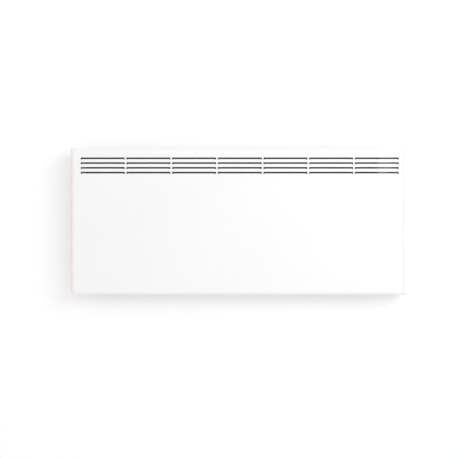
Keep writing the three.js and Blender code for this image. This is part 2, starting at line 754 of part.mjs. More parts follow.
function windowOutline(grow) {
  return roundedRectangle(
    CONTROL_Y - WINDOW_WIDTH / 2 - grow, CONTROL_Y + WINDOW_WIDTH / 2 + grow,
    WINDOW_CENTRE_HEIGHT - WINDOW_HEIGHT / 2 - grow, WINDOW_CENTRE_HEIGHT + WINDOW_HEIGHT / 2 + grow,
    WINDOW_RADIUS + grow, 3,
  );
}

function rightCap() {
  const collarStart = FASCIA_X - FASCIA_THICKNESS;
  const collar = alongX(windowOutline(WINDOW_COLLAR), collarStart, CAP_OUTER_X - CAP_WALL / 2);
  const window = alongX(windowOutline(0), collarStart - OVERRUN, CAP_OUTER_X + OVERRUN);
  return cut(join(capShell(), collar), [window]);
}

function leftCap() {
  return mirrored(capShell());
}

// The same piece on the other side of the plane X = 0.
function mirrored(geometry) {
  const flipped = geometry.clone().applyMatrix4(new THREE.Matrix4().makeScale(-1, 1, 1));
  const index = flipped.index.array;
  for (let i = 0; i < index.length; i += 3) {
    [index[i + 1], index[i + 2]] = [index[i + 2], index[i + 1]];
  }
  return flipped;
}

// A plate across the casing, with a flange at its rear edge that the rear panel is screwed to.
function crossPlate(x, flangeSide) {
  const plate = alongX(roundedRectangle(
    FRONT_Y + SHEET + FIT, RETURN_FACE_Y,
    -HALF_HEIGHT + SHEET + FIT, HALF_HEIGHT - SHEET - FIT,
    FOLD_RADIUS - SHEET, CORNER_STEPS,
  ), x, x + SHEET);
  const flangeHalf = HALF_HEIGHT - RETURN_DEPTH - 2 * SHEET;
  const neck = box(x, x + SHEET, RETURN_FACE_Y - SHEET, REAR_INNER_Y - FIT, -flangeHalf, flangeHalf);
  const reach = flangeSide * RETURN_DEPTH;
  const flange = box(
    Math.min(x, x + reach), Math.max(x + SHEET, x + SHEET + reach),
    REAR_INNER_Y - FIT - SHEET, REAR_INNER_Y - FIT, -flangeHalf, flangeHalf,
  );
  return join(plate, neck, flange);
}

function bossScrewHoles(x) {
  return [-BOSS_HEIGHT, BOSS_HEIGHT].map((z) => roundX(
    SCREW_RADIUS + FIT, x - OVERRUN, x + SHEET + OVERRUN, BOSS_Y, z, SCREW_SIDES,
  ));
}

function shieldSlot(x) {
  const z = (SHIELD_BOTTOM + SHIELD_TOP) / 2;
  return box(
    x - OVERRUN, x + SHEET + OVERRUN, SHIELD_Y - SHEET / 2 - FIT, SHIELD_Y + SHEET / 2 + FIT,
    z - TAB_HEIGHT / 2 - FIT, z + TAB_HEIGHT / 2 + FIT,
  );
}

function bushHole(x) {
  return roundX(BUSH_RADIUS + FIT, x - OVERRUN, x + SHEET + OVERRUN, ELEMENT_Y, ELEMENT_HEIGHT);
}

function rightGable() {
  const opening = alongX(windowOutline(WINDOW_COLLAR + FIT), GABLE_X - OVERRUN, GABLE_X + SHEET + OVERRUN);
  const hole = screwHole(gableScrewPlaces()[1]);
  return cut(crossPlate(GABLE_X, -1), [opening, hole, ...bossScrewHoles(GABLE_X)]);
}

function leftGable() {
  const hole = screwHole(gableScrewPlaces()[1]);
  const cutters = [hole, bushHole(GABLE_X), shieldSlot(GABLE_X), ...bossScrewHoles(GABLE_X)];
  return mirrored(cut(crossPlate(GABLE_X, -1), cutters));
}

// Room for the louvre lips, which run past the partition.
function lipNotch() {
  const lowest = Math.min(...louvreBottoms());
  const reach = LIP_LENGTH + SHEET + 2 * FIT;
  return box(
    PARTITION_X - OVERRUN, PARTITION_X + SHEET + OVERRUN, FRONT_Y, FRONT_Y + SHEET + reach,
    lowest - LIP_ROOT - SHEET, HALF_HEIGHT - LOUVRE_BELOW_TOP + SHEET,
  );
}

function partition() {
  const cutters = [bushHole(PARTITION_X), shieldSlot(PARTITION_X), leadHole(), lipNotch()];
  return cut(crossPlate(PARTITION_X, 1), cutters);
}

function leadHole() {
  const end = PARTITION_X + SHEET + OVERRUN;
  return roundX(LEAD_HOLE_RADIUS, PARTITION_X - OVERRUN, end, ELEMENT_Y, CUTOUT_HEIGHT, SMALL_SIDES);
}

function capScrew(side, z) {
  const profile = [
    [0, 0],
    [SCREW_CROWN_RADIUS, 0],
    [SCREW_HEAD_RADIUS, SCREW_HEAD_HEIGHT],
    [SCREW_RADIUS, SCREW_HEAD_HEIGHT],
    [SCREW_RADIUS, SCREW_HEAD_HEIGHT + SCREW_LENGTH],
    [0, SCREW_HEAD_HEIGHT + SCREW_LENGTH],
  ].map(([r, h]) => new THREE.Vector2(r, h));
  const geometry = new THREE.LatheGeometry(profile, SCREW_SIDES).rotateZ(-side * Math.PI / 2);
  return geometry.translate(side * (GABLE_X - FIT - SCREW_HEAD_HEIGHT), BOSS_Y, z);
}

// ---- Inner sheets ----
function heatShield() {
  const profile = bentSheet([
    [SHIELD_Y + SHIELD_KICK, SHIELD_BOTTOM],
    [SHIELD_Y, SHIELD_BOTTOM, SMALL_BEND],
    [SHIELD_Y, SHIELD_TOP, SMALL_BEND],
    [SHIELD_Y + SHIELD_KICK / 2, SHIELD_TOP + SHIELD_KICK],
  ], SHEET, 2);
  const left = -GABLE_X + FIT;
  const right = PARTITION_X - FIT;
  const z = (SHIELD_BOTTOM + SHIELD_TOP) / 2;
  const tab = box(
    left - FIT - SHEET - TAB_LENGTH, right + FIT + SHEET + TAB_LENGTH,
    SHIELD_Y - SHEET / 2, SHIELD_Y + SHEET / 2, z - TAB_HEIGHT / 2, z + TAB_HEIGHT / 2,
  );
  return join(alongX(profile, left, right), tab);
}

// The curved sheet that turns the rising warm air out through the louvres.
function airGuide() {
  const footY = REAR_INNER_Y - 2 * FIT - SHEET - SHEET / 2;
  const frontY = FRONT_Y + GUIDE_FRONT_GAP;
  const topZ = HALF_HEIGHT - GUIDE_TOP_GAP;
  const corners = [[footY, GUIDE_FOOT]];
  for (let i = 0; i <= GUIDE_STEPS; i += 1) {
    const angle = (i / GUIDE_STEPS) * (Math.PI / 2);
    corners.push([
      frontY + (footY - frontY) * Math.cos(angle),
      GUIDE_START + (topZ - GUIDE_START) * Math.sin(angle),
    ]);
  }
  const sheet = alongX(bentSheet(corners, SHEET), -GABLE_X + SHEET + RETURN_DEPTH + FIT, PARTITION_X - FIT);
  return cut(sheet, guideScrewPlaces().map(([x, z]) => roundY(
    SCREW_RADIUS + FIT, footY - 2 * SHEET, footY + 2 * SHEET, x, z, SCREW_SIDES,
  )));
}

// ---- Heating element ----
function elementLeft() {
  return -GABLE_X + ELEMENT_END_GAP;
}

function elementRight() {
  return PARTITION_X - ELEMENT_END_GAP;
}

function wingOutline(angle) {
  const along = new THREE.Vector2(Math.sin(angle), Math.cos(angle));
  const across = new THREE.Vector2(along.y, -along.x);
  const half = ELEMENT_WING_THICKNESS / 2;
  const at = (distance, side) => new THREE.Vector2(ELEMENT_Y, ELEMENT_HEIGHT)
    .addScaledVector(along, distance)
    .addScaledVector(across, side);
  const root = (ELEMENT_TUBE_RADIUS + ROD_RADIUS) / 2;
  const halfRoot = ELEMENT_WING_ROOT / 2;
  return [at(root, -halfRoot), at(ELEMENT_WING, -half), at(ELEMENT_WING, half), at(root, halfRoot)];
}

function heatingElement() {
  const left = elementLeft();
  const right = elementRight();
  const angles = [
    ELEMENT_WING_ANGLE, -ELEMENT_WING_ANGLE, Math.PI - ELEMENT_WING_ANGLE, Math.PI + ELEMENT_WING_ANGLE,
  ];
  const wings = angles.map((angle) => alongX(wingOutline(angle).reverse(), left, right));
  const core = roundX(ELEMENT_TUBE_RADIUS, left, right, ELEMENT_Y, ELEMENT_HEIGHT);
  const bore = roundX(ROD_RADIUS + FIT, left - OVERRUN, right + OVERRUN, ELEMENT_Y, ELEMENT_HEIGHT);
  return cut(join(core, ...wings), [bore, ...elementSlits(left, right)]);
}

// Slits across both pairs of wings, which let them stretch as they warm.
function elementSlits(left, right) {
  const slits = [];
  const count = Math.floor((right - left - SLIT_PITCH) / SLIT_PITCH);
  const first = (left + right) / 2 - ((count - 1) / 2) * SLIT_PITCH;
  for (let i = 0; i < count; i += 1) {
    const x = first + i * SLIT_PITCH;
    for (const side of [-1, 1]) {
      const near = ELEMENT_HEIGHT + side * SLIT_START;
      const far = ELEMENT_HEIGHT + side * (ELEMENT_WING + OVERRUN);
      slits.push(box(
        x - SLIT_WIDTH / 2, x + SLIT_WIDTH / 2, ELEMENT_Y - ELEMENT_WING, ELEMENT_Y + ELEMENT_WING,
        Math.min(near, far), Math.max(near, far),
      ));
    }
  }
  return slits;
}

function elementRod() {
  const left = -GABLE_X - BUSH_LENGTH / 2;
  const right = PARTITION_X + SHEET + BUSH_LENGTH;
  const rod = roundX(ROD_RADIUS, left, right, ELEMENT_Y, ELEMENT_HEIGHT);
  const terminal = roundX(
    ROD_TERMINAL_RADIUS, right - OVERRUN, right + ROD_TERMINAL_LENGTH, ELEMENT_Y, ELEMENT_HEIGHT, SMALL_SIDES,
  );
  return join(rod, terminal);
}

// A ceramic bush whose flange stands against the inner face of a plate at x = 0, facing -x.
function elementBush() {
  const bore = ROD_RADIUS + FIT;
  const profile = [
    [bore, -BUSH_FLANGE_THICKNESS - FIT],
    [BUSH_FLANGE, -BUSH_FLANGE_THICKNESS - FIT],
    [BUSH_FLANGE, -FIT],
    [BUSH_RADIUS, -FIT],
    [BUSH_RADIUS, BUSH_LENGTH - BUSH_FLANGE_THICKNESS],
    [bore, BUSH_LENGTH - BUSH_FLANGE_THICKNESS],
    [bore, -BUSH_FLANGE_THICKNESS - FIT],
  ].map(([r, h]) => new THREE.Vector2(r, h));
  return new THREE.LatheGeometry(profile, FINE_SIDES).rotateZ(-Math.PI / 2);
}

// ---- Wall bracket ----
// One side of the channel, cut to a hook at its lower end, as an outline in (y, z).
function flangeOutline() {
  const top = CHANNEL_TOP;
  const bottom = HOOK_HEIGHT - HOOK_BELOW;
  const tipRear = REAR_INNER_Y - HOOK_CLEARANCE;
  const tipFront = tipRear - HOOK_TIP_THICKNESS;
  return [
    [0, bottom],
    [0, top],
    [-CHANNEL_DEPTH + CHANNEL_CORNER, top],
    [-CHANNEL_DEPTH, top - CHANNEL_CORNER],
    [-CHANNEL_DEPTH, HOOK_HEIGHT + HOOK_SHOULDER],
    [-CHANNEL_DEPTH - HOOK_SHOULDER, HOOK_HEIGHT],
    [tipRear, HOOK_HEIGHT],
    [tipRear, HOOK_HEIGHT + HOOK_TIP - HOOK_EASE],
    [tipRear - HOOK_EASE, HOOK_HEIGHT + HOOK_TIP],
    [tipFront, HOOK_HEIGHT + HOOK_TIP - HOOK_EASE],
    [tipFront, HOOK_HEIGHT - HOOK_BELOW / 2],
    [tipFront + HOOK_BELOW / 2, bottom],
  ].map(([y, z]) => new THREE.Vector2(y, z));
}

function lugSlot(x) {
  const half = CHANNEL_SHEET;
  const y = -CHANNEL_DEPTH / 2;
  return box(
    x - half, x + half, y - LOCK_LUG_DEPTH / 2 - FIT, y + LOCK_LUG_DEPTH / 2 + FIT,
    LOCK_HEIGHT - LOCK_LUG / 2 - LOCK_TRAVEL - FIT, LOCK_HEIGHT + LOCK_LUG / 2 + FIT,
  );
}

function wallSlot(x, z) {
  const half = WALL_SLOT_WIDTH / 2;
  const outline = roundedRectangle(
    x - half, x + half, z - WALL_SLOT_LENGTH / 2, z + WALL_SLOT_LENGTH / 2, WALL_SLOT_CORNER, CORNER_STEPS,
  );
  return alongY(outline, -CHANNEL_SHEET - OVERRUN, OVERRUN);
}

function rivetHeights() {
  return [-RIVET_RISE, RIVET_RISE];
}

function upright(x) {
  const half = CHANNEL_WIDTH / 2;
  const web = box(x - half, x + half, -CHANNEL_SHEET, 0, HOOK_HEIGHT - HOOK_BELOW, CHANNEL_TOP);
  const flanges = flangeCentres(x).map((centre) => alongX(
    flangeOutline().reverse(), centre - CHANNEL_SHEET / 2, centre + CHANNEL_SHEET / 2,
  ));
  const inner = x - Math.sign(x) * (CHANNEL_WIDTH - CHANNEL_SHEET) / 2;
  const cutters = [
    ...flangeCentres(x).map(lugSlot),
    wallSlot(x, WALL_SLOT_RISE),
    wallSlot(x, -WALL_SLOT_RISE),
    ...rivetHeights().map((z) => roundX(
      RIVET_RADIUS + FIT, inner - 2 * CHANNEL_SHEET, inner + 2 * CHANNEL_SHEET,
      -CHANNEL_DEPTH / 2, z, SMALL_SIDES,
    )),
  ];
  return cut(join(web, ...flanges), cutters);
}

function railTabX() {
  return UPRIGHT_SPACING / 2 - CHANNEL_WIDTH / 2 - FIT - CHANNEL_SHEET / 2;
}

function crossRail() {
  const tabX = railTabX();
  const middle = -CHANNEL_SHEET / 2;
  const tabEnd = -CHANNEL_DEPTH / 2 - RAIL_TAB / 2;
  const outline = bentSheet([
    [-tabX, tabEnd],
    [-tabX, middle, CHANNEL_SHEET],
    [tabX, middle, CHANNEL_SHEET],
    [tabX, tabEnd],
  ], CHANNEL_SHEET, 3);
  const rail = alongZ(outline, -RAIL_HEIGHT / 2, RAIL_HEIGHT / 2);
  const holes = [-tabX, tabX].flatMap((x) => rivetHeights().map((z) => roundX(
    RIVET_RADIUS + FIT, x - 2 * CHANNEL_SHEET, x + 2 * CHANNEL_SHEET, -CHANNEL_DEPTH / 2, z, SMALL_SIDES,
  )));
  return cut(rail, holes);
}

// A rivet through the rail's tab and the channel's side, seen from the middle of the bracket.
function bracketRivet(side, z) {
  const start = railTabX() - CHANNEL_SHEET / 2 - FIT;
  const end = railTabX() + CHANNEL_SHEET / 2 + FIT + CHANNEL_SHEET + FIT;
  const profile = [
    [0, start - RIVET_HEAD_HEIGHT],
    [RIVET_CROWN, start - RIVET_HEAD_HEIGHT],
    [RIVET_HEAD, start],
    [RIVET_RADIUS, start],
    [RIVET_RADIUS, end],
    [RIVET_SET_HEAD, end],
    [RIVET_SET_HEAD, end + RIVET_HEAD_HEIGHT],
    [0, end + RIVET_HEAD_HEIGHT],
  ].map(([r, h]) => new THREE.Vector2(r, h));
  const geometry = new THREE.LatheGeometry(profile, SMALL_SIDES).rotateZ(-side * Math.PI / 2);
  return geometry.translate(0, -CHANNEL_DEPTH / 2, z);
}

// A lock in its open place: a block in the channel, a nose through the rear panel and a thumb tab.
function lock(x) {
  const halfBlock = CHANNEL_WIDTH / 2 - CHANNEL_SHEET - FIT;
  const rear = -CHANNEL_SHEET - FIT;
  const front = rear - LOCK_DEPTH;
  const noseRear = REAR_INNER_Y - LOCK_NOSE_GAP;
  const noseFront = noseRear - LOCK_NOSE_THICKNESS;
  const block = alongX(roundedRectangle(
    front, rear, LOCK_HEIGHT - LOCK_BLOCK / 2, LOCK_HEIGHT + LOCK_BLOCK / 2, LOCK_CORNER, 2,
  ), x - halfBlock, x + halfBlock);
  const arm = box(
    x - LOCK_ARM_WIDTH / 2, x + LOCK_ARM_WIDTH / 2, noseFront, front + LOCK_ROOT,
    LOCK_HEIGHT, LOCK_HEIGHT + LOCK_ARM,
  );
  const noseOutline = [
    [noseFront, LOCK_HEIGHT + LOCK_ARM / 2],
    [noseFront, LOCK_HEIGHT - LOCK_NOSE_DROP + LOCK_NOSE_CHAMFER],
    [noseFront + LOCK_NOSE_CHAMFER, LOCK_HEIGHT - LOCK_NOSE_DROP],
    [noseRear, LOCK_HEIGHT - LOCK_NOSE_DROP],
    [noseRear, LOCK_HEIGHT + LOCK_ARM / 2],
  ].map(([y, z]) => new THREE.Vector2(y, z));
  const nose = alongX(noseOutline, x - LOCK_ARM_WIDTH / 2, x + LOCK_ARM_WIDTH / 2);
  const lugHalf = CHANNEL_WIDTH / 2 + LOCK_LUG_REACH;
  const lugY = -CHANNEL_DEPTH / 2;
  const lugs = box(
    x - lugHalf, x + lugHalf, lugY - LOCK_LUG_DEPTH / 2, lugY + LOCK_LUG_DEPTH / 2,
    LOCK_HEIGHT - LOCK_LUG / 2, LOCK_HEIGHT + LOCK_LUG / 2,
  );
  const tabFront = front + LOCK_ROOT;
  const tabBottom = LOCK_HEIGHT + LOCK_BLOCK / 2 - LOCK_ROOT / 2;
  const tab = alongX(roundedRectangle(
    tabFront, tabFront + LOCK_TAB_THICKNESS, tabBottom, tabBottom + LOCK_TAB_HEIGHT, LOCK_CORNER, 2,
  ), x - LOCK_TAB_WIDTH / 2, x + LOCK_TAB_WIDTH / 2);
  return join(block, arm, nose, lugs, tab);
}

function wallBuffer(x) {
  const profile = [
    [0, -SHEET - FIT - BUFFER_HEAD_THICKNESS],
    [BUFFER_HEAD_RADIUS, -SHEET - FIT - BUFFER_HEAD_THICKNESS],
    [BUFFER_HEAD_RADIUS, -SHEET - FIT],
    [BUFFER_STEM_HOLE - FIT, -SHEET - FIT],
    [BUFFER_STEM_HOLE - FIT, FIT],
    [BUFFER_RADIUS, FIT],
    [BUFFER_RADIUS, BUFFER_LENGTH - BUFFER_CHAMFER],
    [BUFFER_CROWN, BUFFER_LENGTH],
    [0, BUFFER_LENGTH],
  ].map(([r, h]) => new THREE.Vector2(r, h));
  return new THREE.LatheGeometry(profile, ROUND_SIDES).translate(x, REAR_Y, BUFFER_HEIGHT);
}

// ---- Control unit ----
function controlHousing() {
  const y0 = CONTROL_Y - HOUSING_WIDTH / 2;
  const y1 = CONTROL_Y + HOUSING_WIDTH / 2;
  const z0 = WINDOW_CENTRE_HEIGHT - HOUSING_HEIGHT / 2;
  const z1 = WINDOW_CENTRE_HEIGHT + HOUSING_HEIGHT / 2;
  const outer = alongX(roundedRectangle(y0, y1, z0, z1, WINDOW_RADIUS - FIT, 3), HOUSING_BACK_X, FASCIA_X);
  const inner = alongX(roundedRectangle(
    y0 + HOUSING_WALL, y1 - HOUSING_WALL, z0 + HOUSING_WALL, z1 - HOUSING_WALL,
    WINDOW_RADIUS - FIT - HOUSING_WALL, 3,
  ), HOUSING_BACK_X - OVERRUN, FASCIA_X - FASCIA_THICKNESS);
  const posts = [];
  for (const y of [y0 + HOUSING_WALL - POST_ROOT, y1 - HOUSING_WALL + POST_ROOT - POST_SIDE]) {
    for (const z of [z0 + HOUSING_WALL + POST_INSET, z1 - HOUSING_WALL - POST_INSET - POST_SIDE]) {
      posts.push(box(
        boardFace() + FIT, FASCIA_X - FASCIA_THICKNESS / 2, y, y + POST_SIDE, z, z + POST_SIDE,
      ));
    }
  }
  return join(cut(outer, [inner, ...fasciaHoles()]), ...posts);
}

// [half width, half height] of the power switch's body.
function switchHalves() {
  const around = SWITCH_BODY_WALL + FIT;
  return [ROCKER_WIDTH / 2 + around, ROCKER_HEIGHT / 2 + around];
}

function fasciaHoles() {
  const rear = FASCIA_X - FASCIA_THICKNESS - OVERRUN;
  const front = FASCIA_X + OVERRUN;
  const [halfWidth, halfHeight] = switchHalves().map((half) => half + FIT);
  return [
    roundX(SPINDLE_RADIUS + FIT, rear, front, CONTROL_Y, DIAL_Z),
    box(
      rear, front, CONTROL_Y - halfWidth, CONTROL_Y + halfWidth, SWITCH_Z - halfHeight, SWITCH_Z + halfHeight,
    ),
    roundX(LENS_RADIUS + FIT, rear, front, CONTROL_Y, LENS_Z, SMALL_SIDES),
  ];
}

function boardFace() {
  return FASCIA_X - FASCIA_THICKNESS - FIT - POT_DEPTH - FIT;
}

function controlCover() {
  const y0 = CONTROL_Y - HOUSING_WIDTH / 2;
  const z0 = WINDOW_CENTRE_HEIGHT - HOUSING_HEIGHT / 2;
  const lid = alongX(
    roundedRectangle(y0, y0 + HOUSING_WIDTH, z0, z0 + HOUSING_HEIGHT, WINDOW_RADIUS - FIT, 3),
    HOUSING_BACK_X - FIT - COVER_THICKNESS, HOUSING_BACK_X - FIT,
  );
  const step = HOUSING_WALL + FIT;
  const rim = alongX(roundedRectangle(
    y0 + step, y0 + HOUSING_WIDTH - step, z0 + step, z0 + HOUSING_HEIGHT - step,
    WINDOW_RADIUS - FIT - step, 3,
  ), HOUSING_BACK_X - FIT - COVER_THICKNESS / 2, HOUSING_BACK_X + COVER_THICKNESS);
  return join(lid, rim);
}

function controlBoard() {
  const halfWidth = HOUSING_WIDTH / 2 - HOUSING_WALL - BOARD_MARGIN;
  const halfHeight = HOUSING_HEIGHT / 2 - HOUSING_WALL - BOARD_MARGIN;
  return box(
    boardFace() - BOARD_THICKNESS, boardFace(), CONTROL_Y - halfWidth, CONTROL_Y + halfWidth,
    WINDOW_CENTRE_HEIGHT - halfHeight, WINDOW_CENTRE_HEIGHT + halfHeight,
  );
}

function potentiometer() {
  const x0 = boardFace() + FIT;
  const x1 = FASCIA_X - FASCIA_THICKNESS - FIT;
  const body = roundX(POT_RADIUS, x0, x1, CONTROL_Y, DIAL_Z, FINE_SIDES);
  return cut(body, [roundX(SPINDLE_RADIUS + FIT, x1 - POT_DEPTH / 2, x1 + OVERRUN, CONTROL_Y, DIAL_Z)]);
}

function spindle() {
  const start = FASCIA_X - FASCIA_THICKNESS - FIT - POT_DEPTH / 2 + FIT;
  return roundX(SPINDLE_RADIUS, start, FASCIA_X + DIAL_DEPTH / 2, CONTROL_Y, DIAL_Z);
}

// The dial at its lowest setting, where its pointer stands low on the side towards the room.
function thermostatDial() {
  const x0 = FASCIA_X + FIT;
  const x1 = x0 + DIAL_DEPTH;
  const profile = [
    [0, x0],
    [DIAL_RADIUS, x0],
    [DIAL_RADIUS, x1 - DIAL_CHAMFER],
    [DIAL_RADIUS - DIAL_CHAMFER, x1],
    [DIAL_DISH_RADIUS, x1],
    [DIAL_DISH_FLOOR, x1 - DIAL_DISH_DEPTH],
    [0, x1 - DIAL_DISH_DEPTH],
  ].map(([r, h]) => new THREE.Vector2(r, h));
  const disc = new THREE.LatheGeometry(profile, 2 * ROUND_SIDES).rotateZ(-Math.PI / 2);
  const bore = roundX(SPINDLE_RADIUS + FIT, x0 - OVERRUN, FASCIA_X + DIAL_DEPTH / 2 + FIT, 0, 0);
  const pointer = box(
    x1 - POINTER_DEPTH, x1 + OVERRUN, -POINTER_WIDTH / 2, POINTER_WIDTH / 2,
    POINTER_START, DIAL_RADIUS + OVERRUN,
  );
  const dial = cut(disc, [bore, pointer, ...dialFlutes(x0 + DIAL_SKIRT, x1 + OVERRUN)]);
  return dial.rotateX(DIAL_LOWEST).translate(0, CONTROL_Y, DIAL_Z);
}

function dialFlutes(x0, x1) {
  const reach = DIAL_RADIUS + DIAL_FLUTE_OUTSET;
  return Array.from({ length: DIAL_FLUTES }, (_, i) => {
    const angle = ((i + 0.5) / DIAL_FLUTES) * 2 * Math.PI;
    return roundX(
      DIAL_FLUTE_RADIUS, x0, x1, reach * Math.cos(angle), reach * Math.sin(angle), SCREW_SIDES,
    );
  });
}

function switchBody() {
  const [halfWidth, halfHeight] = switchHalves();
  const front = FASCIA_X + SWITCH_BODY_PROUD;
  const outer = box(
    FASCIA_X - SWITCH_BODY_DEPTH, front, CONTROL_Y - halfWidth, CONTROL_Y + halfWidth,
    SWITCH_Z - halfHeight, SWITCH_Z + halfHeight,
  );
  const [wellWidth, wellHeight] = [ROCKER_WIDTH / 2 + FIT, ROCKER_HEIGHT / 2 + FIT];
  const well = box(
    FASCIA_X - SWITCH_WELL_DEPTH, front + OVERRUN, CONTROL_Y - wellWidth, CONTROL_Y + wellWidth,
    SWITCH_Z - wellHeight, SWITCH_Z + wellHeight,
  );
  return cut(outer, [well]);
}

// The rocker's outline in (x, z) is a blunt wedge below its pivot and a shallow valley above it.
function rocker() {
  const half = ROCKER_HEIGHT / 2 - ROCKER_EASE;
  const outline = [
    [-ROCKER_FOOT / 2, -ROCKER_DEPTH],
    [ROCKER_FOOT / 2, -ROCKER_DEPTH],
    [half, -ROCKER_SIDE_DEPTH],
    [half - ROCKER_EASE, ROCKER_RISE],
    [0, ROCKER_WAIST],
    [-half + ROCKER_EASE, ROCKER_RISE],
    [-half, -ROCKER_SIDE_DEPTH],
  ].map(([z, x]) => new THREE.Vector2(x, z));
  const shape = alongY(outline, -ROCKER_WIDTH / 2, ROCKER_WIDTH / 2);
  return shape.rotateY(-ROCKER_ANGLE).translate(FASCIA_X, CONTROL_Y, SWITCH_Z);
}

// A quarter of an ellipse from the rim of a turned piece to its axis, as [radius, height] pairs.
function domeProfile(radius, start, rise) {
  return [0, 1, 2, 3].map((k) => {
    const angle = (k / 3) * (Math.PI / 2);
    return new THREE.Vector2(k === 3 ? 0 : radius * Math.cos(angle), start + rise * Math.sin(angle));
  });
}

function indicatorLens() {
  const profile = [
    new THREE.Vector2(0, -LENS_DEPTH),
    new THREE.Vector2(LENS_RADIUS, -LENS_DEPTH),
    ...domeProfile(LENS_RADIUS, LENS_RIM, LENS_DOME),
  ];
  const geometry = new THREE.LatheGeometry(profile, SMALL_SIDES).rotateZ(-Math.PI / 2);
  return geometry.translate(FASCIA_X, CONTROL_Y, LENS_Z);
}

// ---- Small parts inside ----
function cutoutClip() {
  const foot = REAR_INNER_Y - FIT - SHEET / 2;
  const front = foot - CLIP_REACH;
  const shelf = CUTOUT_HEIGHT + CUTOUT_RADIUS + CLIP_ABOVE;
  const outline = bentSheet([
    [foot, shelf + CLIP_FOOT],
    [foot, shelf, SMALL_BEND],
    [front, shelf, SMALL_BEND],
    [front, CUTOUT_HEIGHT - CUTOUT_RADIUS - CLIP_TAIL],
  ], SHEET, 3);
  const clip = alongX(outline, CUTOUT_X - CLIP_WIDTH / 2, CUTOUT_X + CLIP_WIDTH / 2);
  const hole = roundY(CUTOUT_RADIUS / 2 + FIT, front - SHEET, front + SHEET, CUTOUT_X, CUTOUT_HEIGHT);
  return cut(clip, [hole]);
}

function overheatCutout() {
  const front = CLIP_FRONT_Y - CUTOUT_THICKNESS;
  const body = roundY(CUTOUT_RADIUS, front, CLIP_FRONT_Y, CUTOUT_X, CUTOUT_HEIGHT, FINE_SIDES);
  const stud = roundY(
    CUTOUT_RADIUS / 2, CLIP_FRONT_Y - OVERRUN, CLIP_FRONT_Y + CUTOUT_STUD, CUTOUT_X, CUTOUT_HEIGHT,
  );
  const half = BLADE_SIDE / 2;
  const blades = [-1, 1].map((side) => CUTOUT_X + side * CUTOUT_RADIUS).map((x) => box(
    x - half, x + half, front + BLADE_OFFSET, front + BLADE_OFFSET + BLADE_THICKNESS,
    CUTOUT_HEIGHT - half, CUTOUT_HEIGHT + half,
  ));
  return join(body, stud, ...blades);
}

function terminalBlock() {
  const rear = REAR_INNER_Y - FIT;
  const x0 = BAY_X - TERMINAL_LENGTH / 2;
  const body = alongX([
    [rear, TERMINAL_HEIGHT - TERMINAL_RISE / 2],
    [rear, TERMINAL_HEIGHT + TERMINAL_RISE / 2],
    [rear - TERMINAL_SHOULDER, TERMINAL_HEIGHT + TERMINAL_RISE / 2],
    [rear - TERMINAL_DEPTH, TERMINAL_HEIGHT + TERMINAL_RISE / 4],
    [rear - TERMINAL_DEPTH, TERMINAL_HEIGHT - TERMINAL_RISE / 4],
    [rear - TERMINAL_SHOULDER, TERMINAL_HEIGHT - TERMINAL_RISE / 2],
  ].reverse().map(([y, z]) => new THREE.Vector2(y, z)), x0, x0 + TERMINAL_LENGTH);
  const pitch = TERMINAL_LENGTH / TERMINAL_WELLS;
  const wells = Array.from({ length: TERMINAL_WELLS }, (_, i) => roundY(
    TERMINAL_WELL_RADIUS, rear - TERMINAL_DEPTH - OVERRUN, rear - TERMINAL_DEPTH / 2,
    x0 + (i + 0.5) * pitch, TERMINAL_HEIGHT, SMALL_SIDES,
  ));
  return cut(body, wells);
}

function cableGland() {
  const profile = [
    [GLAND_BORE, -SHEET - FIT - GLAND_LIP],
    [GLAND_FLANGE, -SHEET - FIT - GLAND_LIP],
    [GLAND_FLANGE, -SHEET - FIT],
    [GLAND_RADIUS, -SHEET - FIT],
    [GLAND_RADIUS, FIT],
    [GLAND_FLANGE, FIT],
    [GLAND_FLANGE - GLAND_CHAMFER, FIT + GLAND_LIP],
    [GLAND_BORE, FIT + GLAND_LIP],
    [GLAND_BORE, -SHEET - FIT - GLAND_LIP],
  ].map(([r, h]) => new THREE.Vector2(r, h));
  return new THREE.LatheGeometry(profile, FINE_SIDES).translate(BAY_X, REAR_Y, GLAND_HEIGHT);
}

function sensorClip() {
  const near = GABLE_X - FIT - SHEET / 2;
  const far = near + SHEET / 2 - 2 * SENSOR_RADIUS - SENSOR_CLIP_REACH;
  const bend = ELEMENT_Y + SENSOR_RADIUS + SENSOR_CLIP_PLAY;
  const outline = bentSheet([
    [near, ELEMENT_Y - SENSOR_CLIP_FOOT],
    [near, bend, SMALL_BEND],
    [far, bend, SMALL_BEND],
    [far, ELEMENT_Y - SENSOR_RADIUS],
  ], SHEET, 3);
  return alongZ(outline, SENSOR_HEIGHT - SENSOR_CLIP_WIDTH / 2, SENSOR_HEIGHT + SENSOR_CLIP_WIDTH / 2);
}

function airSensor() {
  const profile = [
    new THREE.Vector2(0, -SENSOR_LENGTH / 2),
    new THREE.Vector2(SENSOR_RADIUS, -SENSOR_LENGTH / 2),
    ...domeProfile(SENSOR_RADIUS, SENSOR_LENGTH / 2 - SENSOR_RADIUS, SENSOR_RADIUS),
  ];
  const geometry = new THREE.LatheGeometry(profile, SMALL_SIDES).rotateX(-Math.PI / 2);
  return geometry.translate(SENSOR_X, ELEMENT_Y, SENSOR_HEIGHT);
}

// ---- Leads ----
function coverPoint(y, z) {
  return new THREE.Vector3(HOUSING_BACK_X - 2 * FIT - COVER_THICKNESS, y, z);
}

// A lead from a piece to the rear of the control unit, which it meets square on.
function lead(points, y, z) {
  const end = coverPoint(y, z);
  const turn = end.clone().add(new THREE.Vector3(-LEAD_BEND, 0, -LEAD_BEND / 2));
  const straight = end.clone().add(new THREE.Vector3(-LEAD_BEND / 2, 0, 0));
  return tube([...points, turn, straight, end], LEAD_RADIUS, LEAD_STEPS, LEAD_SIDES);
}

